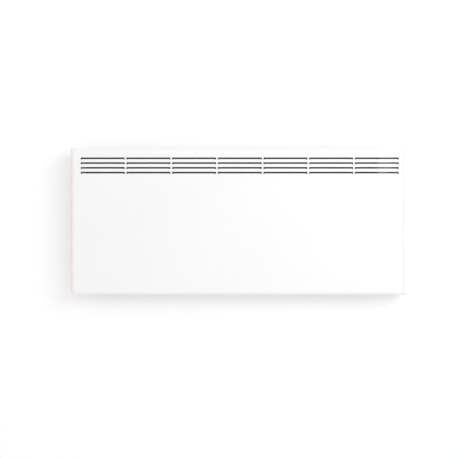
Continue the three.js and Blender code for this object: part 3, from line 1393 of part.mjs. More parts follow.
function elementLead() {
  const start = PARTITION_X + SHEET + BUSH_LENGTH + ROD_TERMINAL_LENGTH + FIT;
  return lead([
    new THREE.Vector3(start, ELEMENT_Y, ELEMENT_HEIGHT),
    new THREE.Vector3(start + LEAD_BEND / 2, ELEMENT_Y, ELEMENT_HEIGHT),
    new THREE.Vector3(start + LEAD_BEND, ELEMENT_Y, ELEMENT_HEIGHT + LEAD_BEND),
    new THREE.Vector3(start + LEAD_BEND / 2, ELEMENT_Y, (ELEMENT_HEIGHT + WINDOW_CENTRE_HEIGHT) / 2),
  ], CONTROL_Y + LEAD_BEND / 2, WINDOW_CENTRE_HEIGHT - WINDOW_HEIGHT / 4);
}

function supplyLead() {
  const y = REAR_INNER_Y - TERMINAL_DEPTH / 2;
  const top = TERMINAL_HEIGHT + TERMINAL_RISE / 2 + FIT;
  return lead([
    new THREE.Vector3(BAY_X, y, top),
    new THREE.Vector3(BAY_X, y, top + LEAD_BEND),
    new THREE.Vector3(BAY_X, y, (top + WINDOW_CENTRE_HEIGHT) / 2),
  ], CONTROL_Y + LEAD_BEND, WINDOW_CENTRE_HEIGHT - WINDOW_HEIGHT / 3);
}

function cutoutLead() {
  const start = CUTOUT_X + CUTOUT_RADIUS + BLADE_SIDE / 2 + FIT;
  const y = CLIP_FRONT_Y - CUTOUT_THICKNESS + BLADE_OFFSET + BLADE_THICKNESS / 2;
  return lead([
    new THREE.Vector3(start, y, CUTOUT_HEIGHT),
    new THREE.Vector3(start + LEAD_BEND, y, CUTOUT_HEIGHT),
    new THREE.Vector3(PARTITION_X - LEAD_BEND, ELEMENT_Y, CUTOUT_HEIGHT),
    new THREE.Vector3(PARTITION_X + LEAD_BEND / 2, ELEMENT_Y, CUTOUT_HEIGHT),
  ], CONTROL_Y - LEAD_BEND / 2, WINDOW_CENTRE_HEIGHT);
}

function sensorLead() {
  const top = SENSOR_HEIGHT + SENSOR_LENGTH / 2 + FIT;
  const side = ELEMENT_Y - LEAD_BEND;
  return lead([
    new THREE.Vector3(SENSOR_X, ELEMENT_Y, top),
    new THREE.Vector3(SENSOR_X, ELEMENT_Y, top + LEAD_BEND),
    new THREE.Vector3(SENSOR_X - LEAD_BEND, side, (top + WINDOW_CENTRE_HEIGHT) / 2),
    new THREE.Vector3(HOUSING_BACK_X - LEAD_BEND, side, WINDOW_CENTRE_HEIGHT - WINDOW_HEIGHT / 2),
  ], CONTROL_Y - LEAD_BEND, WINDOW_CENTRE_HEIGHT - WINDOW_HEIGHT / 3);
}

// ---- Assembly ----
const bracket = new THREE.Group();
heater.add(bracket);
const sides = [["left", -1], ["right", 1]];

for (const [side, sign] of sides) {
  const x = (sign * UPRIGHT_SPACING) / 2;
  place(bracket, `bracket_upright_${side}`, upright(x), zincSteel());
  place(bracket, `lock_${side}`, lock(x), darkPlastic());
  rivetHeights().forEach((z, i) => {
    place(bracket, `bracket_rivet_${side}_${i + 1}`, bracketRivet(sign, z), zincSteel());
  });
}
place(bracket, "bracket_cross_rail", crossRail(), zincSteel());

place(heater, "front_panel", frontPanel(), paintWhite());
place(heater, "rear_panel", rearPanel(), zincSteel());
place(heater, "left_end_cap", leftCap(), plasticWhite());
place(heater, "right_end_cap", rightCap(), plasticWhite());
place(heater, "left_gable", leftGable(), zincSteel());
place(heater, "right_gable", rightGable(), zincSteel());
place(heater, "control_partition", partition(), zincSteel());
place(heater, "heat_shield", heatShield(), zincSteel());
place(heater, "air_guide", airGuide(), zincSteel());

rearScrewPlaces().forEach(([x, z], i) => {
  place(heater, `rear_screw_${i + 1}`, rearScrew(x, z), zincSteel());
});
gableScrewPlaces().forEach(([x, z], i) => {
  place(heater, `gable_screw_${i + 1}`, rearScrew(x, z), zincSteel());
});
guideScrewPlaces().forEach(([x, z], i) => {
  place(heater, `guide_screw_${i + 1}`, rearScrew(x, z), zincSteel());
});
for (const [side, sign] of sides) {
  place(heater, `${side}_cap_screw_upper`, capScrew(sign, BOSS_HEIGHT), zincSteel());
  place(heater, `${side}_cap_screw_lower`, capScrew(sign, -BOSS_HEIGHT), zincSteel());
  place(heater, `wall_buffer_${side}`, wallBuffer(sign * BUFFER_X), rubber());
}

place(heater, "heating_element", heatingElement(), aluminium());
place(heater, "element_rod", elementRod(), zincSteel());
const leftBush = place(heater, "element_bush_left", mirrored(toGeometry(toSolid(elementBush()))), ceramic());
leftBush.position.set(-GABLE_X, ELEMENT_Y, ELEMENT_HEIGHT);
const rightBush = place(heater, "element_bush_right", elementBush(), ceramic());
rightBush.position.set(PARTITION_X, ELEMENT_Y, ELEMENT_HEIGHT);

place(heater, "control_housing", controlHousing(), plasticWhite());
place(heater, "control_cover", controlCover(), greyPlastic());
place(heater, "control_board", controlBoard(), boardGreen());
place(heater, "potentiometer", potentiometer(), greyPlastic());
place(heater, "thermostat_spindle", spindle(), greyPlastic());
place(heater, "thermostat_dial", thermostatDial(), plasticWhite());
place(heater, "power_switch_body", switchBody(), darkPlastic());
place(heater, "power_rocker", rocker(), darkPlastic());
place(heater, "indicator_lens", indicatorLens(), lensRed());

place(heater, "cutout_clip", cutoutClip(), zincSteel());
place(heater, "overheat_cutout", overheatCutout(), darkPlastic());
place(heater, "terminal_block", terminalBlock(), ceramic());
place(heater, "cable_gland", cableGland(), rubber());
place(heater, "sensor_clip", sensorClip(), zincSteel());
place(heater, "air_sensor", airSensor(), darkPlastic());

place(heater, "element_lead", elementLead(), leadSleeve());
place(heater, "supply_lead", supplyLead(), leadSleeve());
place(heater, "cutout_lead", cutoutLead(), leadSleeve());
place(heater, "sensor_lead", sensorLead(), leadSleeve());

export default heater;
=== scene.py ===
"""Looks of a wall-hung panel convector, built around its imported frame.

Metres throughout, unless a name or a comment says millimetres.
The wall plane is y = 0 and the front faces -Y.
"""

import json
import math

import bmesh
import bpy
from mathutils import Matrix, Vector
from mathutils.geometry import tessellate_polygon


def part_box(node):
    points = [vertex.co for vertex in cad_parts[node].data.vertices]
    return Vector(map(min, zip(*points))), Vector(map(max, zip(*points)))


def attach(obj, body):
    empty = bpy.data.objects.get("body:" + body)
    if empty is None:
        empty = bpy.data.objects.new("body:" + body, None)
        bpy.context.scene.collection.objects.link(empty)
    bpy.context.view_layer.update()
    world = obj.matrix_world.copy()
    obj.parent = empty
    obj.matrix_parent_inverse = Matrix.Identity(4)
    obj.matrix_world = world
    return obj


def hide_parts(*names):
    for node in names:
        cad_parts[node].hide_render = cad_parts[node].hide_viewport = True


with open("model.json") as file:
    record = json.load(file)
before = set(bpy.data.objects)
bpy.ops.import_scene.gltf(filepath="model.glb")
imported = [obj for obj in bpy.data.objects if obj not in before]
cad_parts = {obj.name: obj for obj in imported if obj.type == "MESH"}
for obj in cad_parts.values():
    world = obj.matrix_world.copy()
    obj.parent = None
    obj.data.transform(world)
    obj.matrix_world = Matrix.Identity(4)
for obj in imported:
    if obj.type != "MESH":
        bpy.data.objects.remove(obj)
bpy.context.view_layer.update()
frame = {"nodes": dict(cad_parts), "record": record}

MM = 0.001
NODES = frame["nodes"]
QUARTER = math.pi / 2
TURN = 2 * math.pi

# ---- Sizes shared with the frame ----
PANEL_LOW, PANEL_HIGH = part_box("front_panel")
CAP_LOW, CAP_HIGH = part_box("right_end_cap")
FASCIA_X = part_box("control_housing")[1].x
DIAL_LOW, DIAL_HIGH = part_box("thermostat_dial")
ROCKER_LOW, ROCKER_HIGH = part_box("power_rocker")

HALF_WIDTH = PANEL_HIGH.x
HALF_HEIGHT = PANEL_HIGH.z
FRONT_Y = PANEL_LOW.y
REAR_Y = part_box("rear_panel")[1].y
MIDDLE_Y = (FRONT_Y + REAR_Y) / 2
FLANGE_Y = PANEL_HIGH.y
SHEET = 1.0 * MM
SAME_POINT = 0.03 * MM  # points closer together than this are one
FOLD_RADIUS = 9 * MM
RETURN_BEND = 2 * MM
RETURN_DEPTH = 12 * MM

LOUVRE_COLUMNS = 7
LOUVRE_ROWS = 4
LOUVRE_PITCH_X = 125 * MM
LOUVRE_PITCH_Z = 13.05 * MM
LOUVRE_LENGTH = 120.4 * MM
LOUVRE_HEIGHT = 5.7 * MM
LOUVRE_BELOW_TOP = 24.4 * MM
LOUVRE_CORNER = 0.8 * MM
LIP_NOTCH = 3.4 * MM
LIP_ANGLE = 1.5  # radians
LIP_BEND = 1.3 * MM
LIP_STRAIGHT = 3.25 * MM

INTAKE_COLUMNS = 12
INTAKE_ROWS = 3
INTAKE_PITCH_X = 70 * MM
INTAKE_PITCH_Y = 13 * MM
INTAKE_LENGTH = 58 * MM
INTAKE_WIDTH = 7 * MM

SCREW_PITCH_X = 240 * MM
SCREW_COLUMNS = [(i - 1.5) * SCREW_PITCH_X for i in range(4)]
REAR_SCREW_LOW, REAR_SCREW_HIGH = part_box("rear_screw_1")
SCREW_Z = (REAR_SCREW_LOW.z + REAR_SCREW_HIGH.z) / 2
SCREW_CELL = 2.6 * MM
SCREW_HOLE = 1.9 * MM

CAP_WALL = 2.2 * MM
CAP_FRONT_ROUND = 7 * MM
CAP_EASE = 1 * MM
SEAM = 0.1 * MM
CAP_TOP_ROUND = 4.5 * MM
CAP_REAR_ROUND = 3 * MM
CAP_CORNER = 10.4 * MM

CONTROL_Y = (DIAL_LOW.y + DIAL_HIGH.y) / 2
WINDOW_WIDTH = 36 * MM
WINDOW_HEIGHT = 96 * MM
WINDOW_Z = 86 * MM
WINDOW_CORNER = 5 * MM
WINDOW_COLLAR = 1.8 * MM
FASCIA_THICKNESS = 2 * MM

# ---- Camera: the photograph's frame and viewing angle ----
MM_PER_PIXEL = 2.7365
FRAME_PIXELS = 458
CAMERA_DISTANCE = 3.5
SENSOR = 36.0  # millimetres
CAMERA_X = -29.5 * MM
CAMERA_Z = -20.2 * MM


def make_camera():
    data = bpy.data.cameras.new("camera")
    camera = bpy.data.objects.new("camera", data)
    bpy.context.scene.collection.objects.link(camera)
    view_width = FRAME_PIXELS * MM_PER_PIXEL * MM
    data.sensor_width = SENSOR
    data.lens = SENSOR * CAMERA_DISTANCE / view_width
    camera.location = (CAMERA_X, FRONT_Y - CAMERA_DISTANCE, CAMERA_Z)
    camera.rotation_euler = (QUARTER, 0, 0)
    bpy.context.scene.camera = camera


# ---- Materials ----
NOISE_LOW, NOISE_HIGH = 0.3, 0.7
COLOUR_DRIFT_SCALE = 9.0
GLOSS_DRIFT = 0.05
GRAIN_STRENGTH = 0.35
COAT_ROUGHNESS = 0.25


def new_material(name):
    material = bpy.data.materials.new(name)
    material.use_nodes = True
    tree = material.node_tree
    shader = tree.nodes["Principled BSDF"]
    coordinates = tree.nodes.new("ShaderNodeTexCoord")
    return material, tree, shader, coordinates


def noise(tree, coordinates, scale, detail=4.0, stretch=(1, 1, 1)):
    mapping = tree.nodes.new("ShaderNodeMapping")
    mapping.inputs["Scale"].default_value = stretch
    tree.links.new(coordinates.outputs["Object"], mapping.inputs["Vector"])
    node = tree.nodes.new("ShaderNodeTexNoise")
    node.inputs["Scale"].default_value = scale
    node.inputs["Detail"].default_value = detail
    tree.links.new(mapping.outputs["Vector"], node.inputs["Vector"])
    return node.outputs["Fac"]


def spread(tree, value, low, high):
    """The middle of a noise value's range, stretched to run from low to high."""
    ramp = tree.nodes.new("ShaderNodeMapRange")
    ramp.inputs["From Min"].default_value = NOISE_LOW
    ramp.inputs["From Max"].default_value = NOISE_HIGH
    ramp.inputs["To Min"].default_value = low
    ramp.inputs["To Max"].default_value = high
    tree.links.new(value, ramp.inputs["Value"])
    return ramp.outputs["Result"]


def tint(tree, value, first, second):
    mix = tree.nodes.new("ShaderNodeMix")
    mix.data_type = "RGBA"
    mix.inputs["A"].default_value = (*first, 1)
    mix.inputs["B"].default_value = (*second, 1)
    tree.links.new(value, mix.inputs["Factor"])
    return mix.outputs["Result"]


def bump(tree, height, strength, distance, before=None):
    node = tree.nodes.new("ShaderNodeBump")
    node.inputs["Strength"].default_value = strength
    node.inputs["Distance"].default_value = distance
    tree.links.new(height, node.inputs["Height"])
    if before is not None:
        tree.links.new(before, node.inputs["Normal"])
    return node.outputs["Normal"]


def surface(
    name, low, high, roughness,
    metallic=0.0, grain=900.0, depth=0.03, stretch=(1, 1, 1), coat=0.0,
):
    """A finish whose colour and gloss drift a little over a fine surface texture.

    low and high bound its colour; grain is the texture's scale, depth its height in millimetres.
    """
    material, tree, shader, coordinates = new_material(name)
    drift = spread(tree, noise(tree, coordinates, COLOUR_DRIFT_SCALE), 0.0, 1.0)
    fine = noise(tree, coordinates, grain, 3.0, stretch)
    gloss = spread(tree, fine, roughness - GLOSS_DRIFT, roughness + GLOSS_DRIFT)
    tree.links.new(tint(tree, drift, low, high), shader.inputs["Base Color"])
    tree.links.new(gloss, shader.inputs["Roughness"])
    tree.links.new(bump(tree, fine, GRAIN_STRENGTH, depth * MM), shader.inputs["Normal"])
    shader.inputs["Metallic"].default_value = metallic
    if coat > 0:
        shader.inputs["Coat Weight"].default_value = coat
        shader.inputs["Coat Roughness"].default_value = COAT_ROUGHNESS
    return material


def powder_coat():
    """Baked white powder coat: a faint orange-peel swell with a finer satin grain on it."""
    material, tree, shader, coordinates = new_material("white_powder_coat")
    drift = spread(tree, noise(tree, coordinates, scale=5.0), 0.0, 1.0)
    peel = noise(tree, coordinates, scale=420.0, detail=2.0)
    grain = noise(tree, coordinates, scale=2600.0, detail=2.0)
    colour = tint(tree, drift, (0.90, 0.90, 0.897), (0.915, 0.915, 0.912))
    tree.links.new(colour, shader.inputs["Base Color"])
    tree.links.new(spread(tree, grain, 0.40, 0.50), shader.inputs["Roughness"])
    swell = bump(tree, peel, strength=0.25, distance=0.02 * MM)
    satin = bump(tree, grain, strength=0.2, distance=0.008 * MM, before=swell)
    tree.links.new(satin, shader.inputs["Normal"])
    return material


def galvanised():
    """Zinc-coated sheet: crystal spangle with faint rolling lines."""
    material, tree, shader, coordinates = new_material("galvanised_sheet")
    cells = tree.nodes.new("ShaderNodeTexVoronoi")
    cells.inputs["Scale"].default_value = 95.0
    tree.links.new(coordinates.outputs["Object"], cells.inputs["Vector"])
    flake = tree.nodes.new("ShaderNodeSeparateColor")
    tree.links.new(cells.outputs["Color"], flake.inputs["Color"])
    lines = noise(tree, coordinates, scale=60.0, stretch=(0.4, 1, 14))
    colour = tint(tree, flake.outputs["Red"], (0.44, 0.45, 0.46), (0.56, 0.57, 0.58))
    tree.links.new(colour, shader.inputs["Base Color"])
    tree.links.new(spread(tree, flake.outputs["Green"], 0.34, 0.48), shader.inputs["Roughness"])
    rolled = bump(tree, lines, strength=0.3, distance=0.01 * MM)
    tree.links.new(rolled, shader.inputs["Normal"])
    shader.inputs["Metallic"].default_value = 0.9
    return material


PAINT = powder_coat()
ZINC = galvanised()
CAP_PLASTIC = surface(
    "cap_plastic", (0.915, 0.888, 0.878), (0.928, 0.902, 0.892), 0.38,
    grain=1500.0, depth=0.012,
)
FASCIA_PLASTIC = surface(
    "fascia_plastic", (0.60, 0.605, 0.61), (0.625, 0.63, 0.635), 0.5,
    grain=2200.0, depth=0.02,
)
DARK_PLASTIC = surface(
    "dark_plastic", (0.018, 0.018, 0.02), (0.026, 0.026, 0.028), 0.45,
    grain=1800.0, depth=0.02,
)
GREY_PLASTIC = surface(
    "grey_plastic", (0.22, 0.23, 0.24), (0.26, 0.27, 0.28), 0.5,
    grain=1800.0, depth=0.02,
)
ALUMINIUM = surface(
    "extruded_aluminium", (0.66, 0.67, 0.68), (0.75, 0.76, 0.77), 0.33,
    metallic=1.0, grain=260.0, depth=0.02, stretch=(0.05, 1, 1),
)
CERAMIC = surface(
    "steatite", (0.72, 0.67, 0.58), (0.80, 0.76, 0.68), 0.62,
    grain=1300.0, depth=0.03,
)
RUBBER = surface(
    "black_rubber", (0.022, 0.022, 0.023), (0.034, 0.034, 0.035), 0.72,
    grain=700.0, depth=0.05,
)
BOARD = surface(
    "circuit_board", (0.015, 0.12, 0.045), (0.025, 0.16, 0.06), 0.35,
    grain=900.0, depth=0.02,
)
# Zinc darkened as painted shade, for the dim inside of the casing seen through the louvres.
SHADE_DARK_ZINC = surface(
    "zinc_darkened_as_shade", (0.23, 0.23, 0.235), (0.28, 0.28, 0.285), 0.6,
    metallic=0.5, grain=300.0, depth=0.02,
)
DIAL_PLASTIC = surface(
    "dial_plastic", (0.80, 0.795, 0.785), (0.825, 0.82, 0.81), 0.42,
    grain=1500.0, depth=0.012,
)
MARK_WHITE = surface(
    "mark_white", (0.80, 0.80, 0.79), (0.84, 0.84, 0.83), 0.5,
    grain=1800.0, depth=0.005,
)
PRINT = surface(
    "print_grey", (0.10, 0.105, 0.11), (0.12, 0.125, 0.13), 0.6,
    grain=2000.0, depth=0.005,
)
LENS = surface(
    "lens_red", (0.55, 0.03, 0.015), (0.65, 0.045, 0.02), 0.12,
    grain=400.0, depth=0.004, coat=0.6,
)
SLEEVE = surface(
    "glass_fibre_sleeve", (0.62, 0.58, 0.48), (0.72, 0.68, 0.58), 0.75,
    grain=1600.0, depth=0.08,
)
ROD_STEEL = surface(
    "rod_steel", (0.30, 0.26, 0.22), (0.42, 0.39, 0.36), 0.3,
    metallic=1.0, grain=500.0, depth=0.01, stretch=(0.1, 1, 1),
)
FASTENER = surface(
    "fastener_zinc", (0.50, 0.50, 0.50), (0.60, 0.60, 0.59), 0.3,
    metallic=1.0, grain=1200.0, depth=0.01,
)

SLOT_FINISH = {
    "white_paint": PAINT,
    "white_plastic": CAP_PLASTIC,
    "fascia_plastic": FASCIA_PLASTIC,
    "dark_plastic": DARK_PLASTIC,
    "grey_plastic": GREY_PLASTIC,
    "aluminium": ALUMINIUM,
    "ceramic": CERAMIC,
    "rubber": RUBBER,
    "board": BOARD,
    "lens": LENS,
    "lead_sleeve": SLEEVE,
    "rod_steel": ROD_STEEL,
    "fastener_steel": FASTENER,
    "zinc_steel": ZINC,
}
# Nodes that look other than their slot's own finish; the sheets inside the casing take a darker
# zinc as painted shade.
NODE_FINISH = {
    "air_guide": SHADE_DARK_ZINC,
    "heat_shield": SHADE_DARK_ZINC,
    "control_partition": SHADE_DARK_ZINC,
    "thermostat_dial": DIAL_PLASTIC,
}
RECORD = frame["record"]
SLOT_OF = {part["node"]: part["material_slot"] for part in RECORD["subparts"]}
BODY_OF = {
    node: body
    for body, nodes in RECORD["behaviour"]["bodies"].items()
    for node in nodes
}


def finish_of(node):
    return NODE_FINISH.get(node, SLOT_FINISH[SLOT_OF[node]])


def finish_frame():
    """Each solid of the frame in its finish, for what no piece replaces."""
    for node in SLOT_OF:
        data = NODES[node].data
        data.materials.clear()
        data.materials.append(finish_of(node))


# ---- Mesh helpers ----
# The least angle between two faces, in degrees, at which their edge is rounded.
SHARP = 40
SCREW_SHARP = 35
FINE_SHARP = 30


def new_object(name, mesh_builder, material, smooth=True):
    data = bpy.data.meshes.new(name)
    mesh_builder.to_mesh(data)
    mesh_builder.free()
    data.materials.append(material)
    for polygon in data.polygons:
        polygon.use_smooth = smooth
    piece = bpy.data.objects.new(name, data)
    bpy.context.scene.collection.objects.link(piece)
    return piece


def bevelled(piece, width, segments, angle):
    modifier = piece.modifiers.new("edges", "BEVEL")
    modifier.width = width
    modifier.segments = segments
    modifier.limit_method = "ANGLE"
    modifier.angle_limit = math.radians(angle)
    modifier.harden_normals = True
    return piece


def solidified(piece, thickness):
    modifier = piece.modifiers.new("sheet", "SOLIDIFY")
    modifier.thickness = thickness
    modifier.offset = -1
    modifier.use_even_offset = True
    return piece


def settle(piece):
    """The piece with its modifiers worked into its mesh."""
    graph = bpy.context.evaluated_depsgraph_get()
    made = bpy.data.meshes.new_from_object(piece.evaluated_get(graph))
    old = piece.data
    piece.modifiers.clear()
    piece.data = made
    bpy.data.meshes.remove(old)
    return piece


def dress(piece, body, slot, *replaced):
    """The piece rides on a body and takes the place of the nodes it replaces; the slot is not used.
    """
    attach(piece, body)
    if replaced:
        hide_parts(*replaced)


def arc(centre, radius, start, end, steps):
    """Points (a, b) on an arc, angles in radians, both ends included."""
    return [
        (
            centre[0] + radius * math.cos(start + (end - start) * k / steps),
            centre[1] + radius * math.sin(start + (end - start) * k / steps),
        )
        for k in range(steps + 1)
    ]


def rounded_rectangle(a0, a1, b0, b1, radius, steps):
    """Points (a, b) round a rectangle, each corner an arc."""
    points = []
    for a, b, start in (
        (a1 - radius, b0 + radius, -QUARTER),
        (a1 - radius, b1 - radius, 0),
        (a0 + radius, b1 - radius, QUARTER),
        (a0 + radius, b0 + radius, math.pi),
    ):
        points += arc((a, b), radius, start, start + QUARTER, steps)
    return points


def skin(mesh, rings):
    """Quads between neighbouring rings of equally many vertices."""
    for first, second in zip(rings, rings[1:]):
        count = len(first)
        for i in range(count):
            k = (i + 1) % count
            mesh.faces.new((first[i], first[k], second[k], second[i]))


def fill_between(mesh, outer, hole=()):
    """Triangles inside an outline, or between it and a hole."""
    loops = [[v.co for v in outer]]
    if hole:
        loops.append([v.co for v in hole])
    verts = [*outer, *hole]
    for triangle in tessellate_polygon(loops):
        mesh.faces.new([verts[i] for i in triangle])


def outwards(mesh):
    bmesh.ops.recalc_face_normals(mesh, faces=mesh.faces)
    return mesh


def add_prism(mesh, rings):
    """A closed body between two rings of vertices."""
    skin(mesh, rings)
    for ring in rings:
        mesh.faces.new(ring)


# ---- Front panel ----
FOLD_STEPS = 14
BEND_STEPS = 5
LIP_STEPS = 7
CORNER_STEPS = 6
HOLE_SIDES = 24
PANEL_EDGE = 0.18 * MM


def centred(count, pitch):
    return [(i - (count - 1) / 2) * pitch for i in range(count)]


def louvre_levels():
    """(bottom, top) of each louvre row."""
    tops = [HALF_HEIGHT - LOUVRE_BELOW_TOP - i * LOUVRE_PITCH_Z for i in range(LOUVRE_ROWS)]
    return [(top - LOUVRE_HEIGHT, top) for top in tops]


def intake_levels():
    """(front, rear) of each row of intake slots."""
    return [
        (MIDDLE_Y + y - INTAKE_WIDTH / 2, MIDDLE_Y + y + INTAKE_WIDTH / 2)
        for y in centred(INTAKE_ROWS, INTAKE_PITCH_Y)
    ]


def stepped(low, high, radius):
    """The two ends of an opening and the ends of its rounded corners, in order."""
    return sorted({low, low + radius, high - radius, high})


def panel_profile():
    """The folded sheet's outer surface in (y, z), from the upper return flange to the lower one."""
    top, front = HALF_HEIGHT, FRONT_Y
    hole = [(FLANGE_Y, SCREW_Z - SCREW_CELL), (FLANGE_Y, SCREW_Z + SCREW_CELL)]
    bend_centre = (FLANGE_Y - RETURN_BEND, top - RETURN_BEND)
    fold_centre = (front + FOLD_RADIUS, top - FOLD_RADIUS)
    upper = [(FLANGE_Y, top - RETURN_DEPTH)] + hole
    upper += arc(bend_centre, RETURN_BEND, 0, QUARTER, BEND_STEPS)
    upper += arc(fold_centre, FOLD_RADIUS, QUARTER, math.pi, FOLD_STEPS)
    levels = [z for level in louvre_levels() for z in stepped(*level, LOUVRE_CORNER)]
    face = [(front, z) for z in sorted(levels, reverse=True)] + [(front, 0.0)]
    lower = [(y, -z) for y, z in reversed(upper)]
    slots = [y for level in intake_levels() for y in stepped(*level, INTAKE_WIDTH / 2)]
    rows = merged([(y, -top) for y in sorted(slots)])
    corner = FOLD_STEPS + 1
    return upper + face + lower[:corner] + rows + lower[corner:]


def merged(points):
    """The points in order without those that repeat the one before."""
    kept = points[:1]
    for point in points[1:]:
        if math.dist(point, kept[-1]) > SAME_POINT:
            kept.append(point)
    return kept


def nearest(values, target):
    return min(range(len(values)), key=lambda i: math.dist(values[i], target))


class SheetGrid:
    """A folded sheet as a grid of cells, some of them open, rounded at a corner or pierced."""

    def __init__(self, xs, profile):
        self.mesh = bmesh.new()
        self.xs = xs
        self.profile = profile
        self.verts = [[self.mesh.verts.new((x, y, z)) for y, z in profile] for x in xs]
        self.special = {}

    def column(self, x):
        return nearest([(value,) for value in self.xs], (x,))

    def open(self, x0, x1, first, last):
        """Opens the cells between two columns and two profile points, with rounded corners."""
        i0, i1 = self.column(x0), self.column(x1)
        k0, k1 = sorted((nearest(self.profile, first), nearest(self.profile, last)))
        for i in range(i0, i1):
            for k in range(k0, k1):
                side = i0 if i == i0 else i1 if i == i1 - 1 else None
                end = k0 if k == k0 else k1 if k == k1 - 1 else None
                self.special[i, k] = None if side is None or end is None else (side, end)

    def pierce(self, x, z, radius):
        """Leaves a round hole in the flange cell around (x, z)."""
        i = self.column(x - SCREW_CELL)
        k = nearest(self.profile, (FLANGE_Y, z - SCREW_CELL if z > 0 else z + SCREW_CELL))
        self.special[i, k] = (x, z, radius)

    def corner(self, i, k, side, end):
        """The part of an open cell outside its rounded corner."""
        other_side = i + 1 if side == i else i
        other_end = k + 1 if end == k else k
        start, finish = self.verts[side][other_end], self.verts[other_side][end]
        centre = self.verts[other_side][other_end].co
        loop = [self.verts[side][end], start]
        to_start, to_finish = start.co - centre, finish.co - centre
        for step in range(1, CORNER_STEPS):
            angle = QUARTER * step / CORNER_STEPS
            offset = to_start * math.cos(angle) + to_finish * math.sin(angle)
            loop.append(self.mesh.verts.new(centre + offset))
        self.mesh.faces.new(loop + [finish])

    def pierced(self, cell, x, z, radius):
        """A flange cell with its round hole."""
        ring = arc((x, z), radius, 0, TURN * (1 - 1 / HOLE_SIDES), HOLE_SIDES - 1)
        hole = [self.mesh.verts.new((a, FLANGE_Y, b)) for a, b in ring]
        fill_between(self.mesh, cell, hole)

    def fill(self):
        """Makes the faces, each cell in its own form."""
        for i, (left, right) in enumerate(zip(self.verts, self.verts[1:])):
            for k in range(len(self.profile) - 1):
                cell = (left[k], left[k + 1], right[k + 1], right[k])
                form = self.special.get((i, k), cell)
                if form is cell:
                    self.mesh.faces.new(cell)
                elif form and len(form) == 3:
                    self.pierced(cell, *form)
                elif form:
                    self.corner(i, k, *form)


def add_lip(mesh, row, bottom):
    """A tongue bent inwards and up from the vertices of one opening's lower edge."""
    rises = []
    for k in range(1, LIP_STEPS + 1):
        angle = LIP_ANGLE * k / LIP_STEPS
        rises.append((LIP_BEND * (1 - math.cos(angle)), LIP_BEND * math.sin(angle)))
    inward, up = rises[-1]
    inward += LIP_STRAIGHT * math.sin(LIP_ANGLE)
    up += LIP_STRAIGHT * math.cos(LIP_ANGLE)
    rises.append((inward, up))
    before = row
    for inward, up in rises:
        now = [mesh.verts.new((v.co.x, FRONT_Y + inward, bottom + up)) for v in row]
        for i in range(len(row) - 1):
            mesh.faces.new((before[i], before[i + 1], now[i + 1], now[i]))
        before = now


def panel_columns():
    """Where the sheet's cells end along X."""
    cuts = {-HALF_WIDTH, HALF_WIDTH}
    for x in centred(LOUVRE_COLUMNS, LOUVRE_PITCH_X):
        start, end = x - LOUVRE_LENGTH / 2, x + LOUVRE_LENGTH / 2
        cuts |= {*stepped(start, end, LOUVRE_CORNER), start + LIP_NOTCH, end - LIP_NOTCH}
    for x in centred(INTAKE_COLUMNS, INTAKE_PITCH_X):
        cuts |= set(stepped(x - INTAKE_LENGTH / 2, x + INTAKE_LENGTH / 2, INTAKE_WIDTH / 2))
    for x in SCREW_COLUMNS:
        cuts |= {x - SCREW_CELL, x + SCREW_CELL}
    return [x for x, in merged([(x,) for x in sorted(cuts)])]


def cut_panel(grid):
    """The louvres' openings, the intake slots and the screw holes."""
    half = LOUVRE_LENGTH / 2
    for x in centred(LOUVRE_COLUMNS, LOUVRE_PITCH_X):
        for bottom, top in louvre_levels():
            grid.open(x - half, x + half, (FRONT_Y, bottom), (FRONT_Y, top))
    half = INTAKE_LENGTH / 2
    for x in centred(INTAKE_COLUMNS, INTAKE_PITCH_X):
        for front, rear in intake_levels():
            grid.open(x - half, x + half, (front, -HALF_HEIGHT), (rear, -HALF_HEIGHT))
    for x in SCREW_COLUMNS:
        for side in (-1, 1):
            grid.pierce(x, side * SCREW_Z, SCREW_HOLE)


def add_lips(grid):
    reach = LOUVRE_LENGTH / 2 - LIP_NOTCH + SAME_POINT
    for bottom, _ in louvre_levels():
        level = nearest(grid.profile, (FRONT_Y, bottom))
        edge = [column[level] for column in grid.verts]
        for x in centred(LOUVRE_COLUMNS, LOUVRE_PITCH_X):
            add_lip(grid.mesh, [v for v in edge if abs(v.co.x - x) < reach], bottom)


def front_panel():
    grid = SheetGrid(panel_columns(), panel_profile())
    cut_panel(grid)
    grid.fill()
    add_lips(grid)
    mesh = grid.mesh
    loose = [v for v in mesh.verts if not v.link_faces]
    bmesh.ops.delete(mesh, geom=loose, context="VERTS")
    piece = new_object("front_panel_sheet", outwards(mesh), PAINT)
    solidified(piece, SHEET)
    bevelled(piece, PANEL_EDGE, 2, SHARP)
    dress(settle(piece), "heater", "white_paint", "front_panel")


# ---- End caps ----
CAP_STEPS = 10
RIM_STEPS = 5
WINDOW_STEPS = 6
CAP_EDGE = 0.35 * MM
# Depths of the outer rings behind the end face, as shares of the front round.
CAP_STATIONS = [0, 0.004, 0.015, 0.035, 0.065, 0.11, 0.17, 0.25, 0.35, 0.47, 0.6, 0.78]


def round_inset(radius, distance):
    """How far a rounding holds the outline in at a distance from the end face."""
    if distance >= radius:
        return 0.0
    return radius - math.sqrt(max(radius ** 2 - (radius - distance) ** 2, 0))


def cap_outline(inset):
    """The cap's outline in (y, z) with every side moved in by the same amount."""
    half = CAP_HIGH.z - inset
    front, rear = CAP_LOW.y + inset, CAP_HIGH.y - inset
    return rounded_rectangle(front, rear, -half, half, CAP_CORNER - inset, CAP_STEPS)


def cap_ring(distance, wall):
    """The outline at a distance from the end face, on the outside or, with a wall, the inside."""
    inside = distance - wall
    front = CAP_LOW.y + wall + round_inset(CAP_FRONT_ROUND - wall, inside)
    rear = CAP_HIGH.y - wall - round_inset(CAP_REAR_ROUND, inside)
    half = CAP_HIGH.z - wall - round_inset(CAP_TOP_ROUND - wall, inside)
    return rounded_rectangle(front, rear, -half, half, CAP_CORNER - wall, CAP_STEPS)


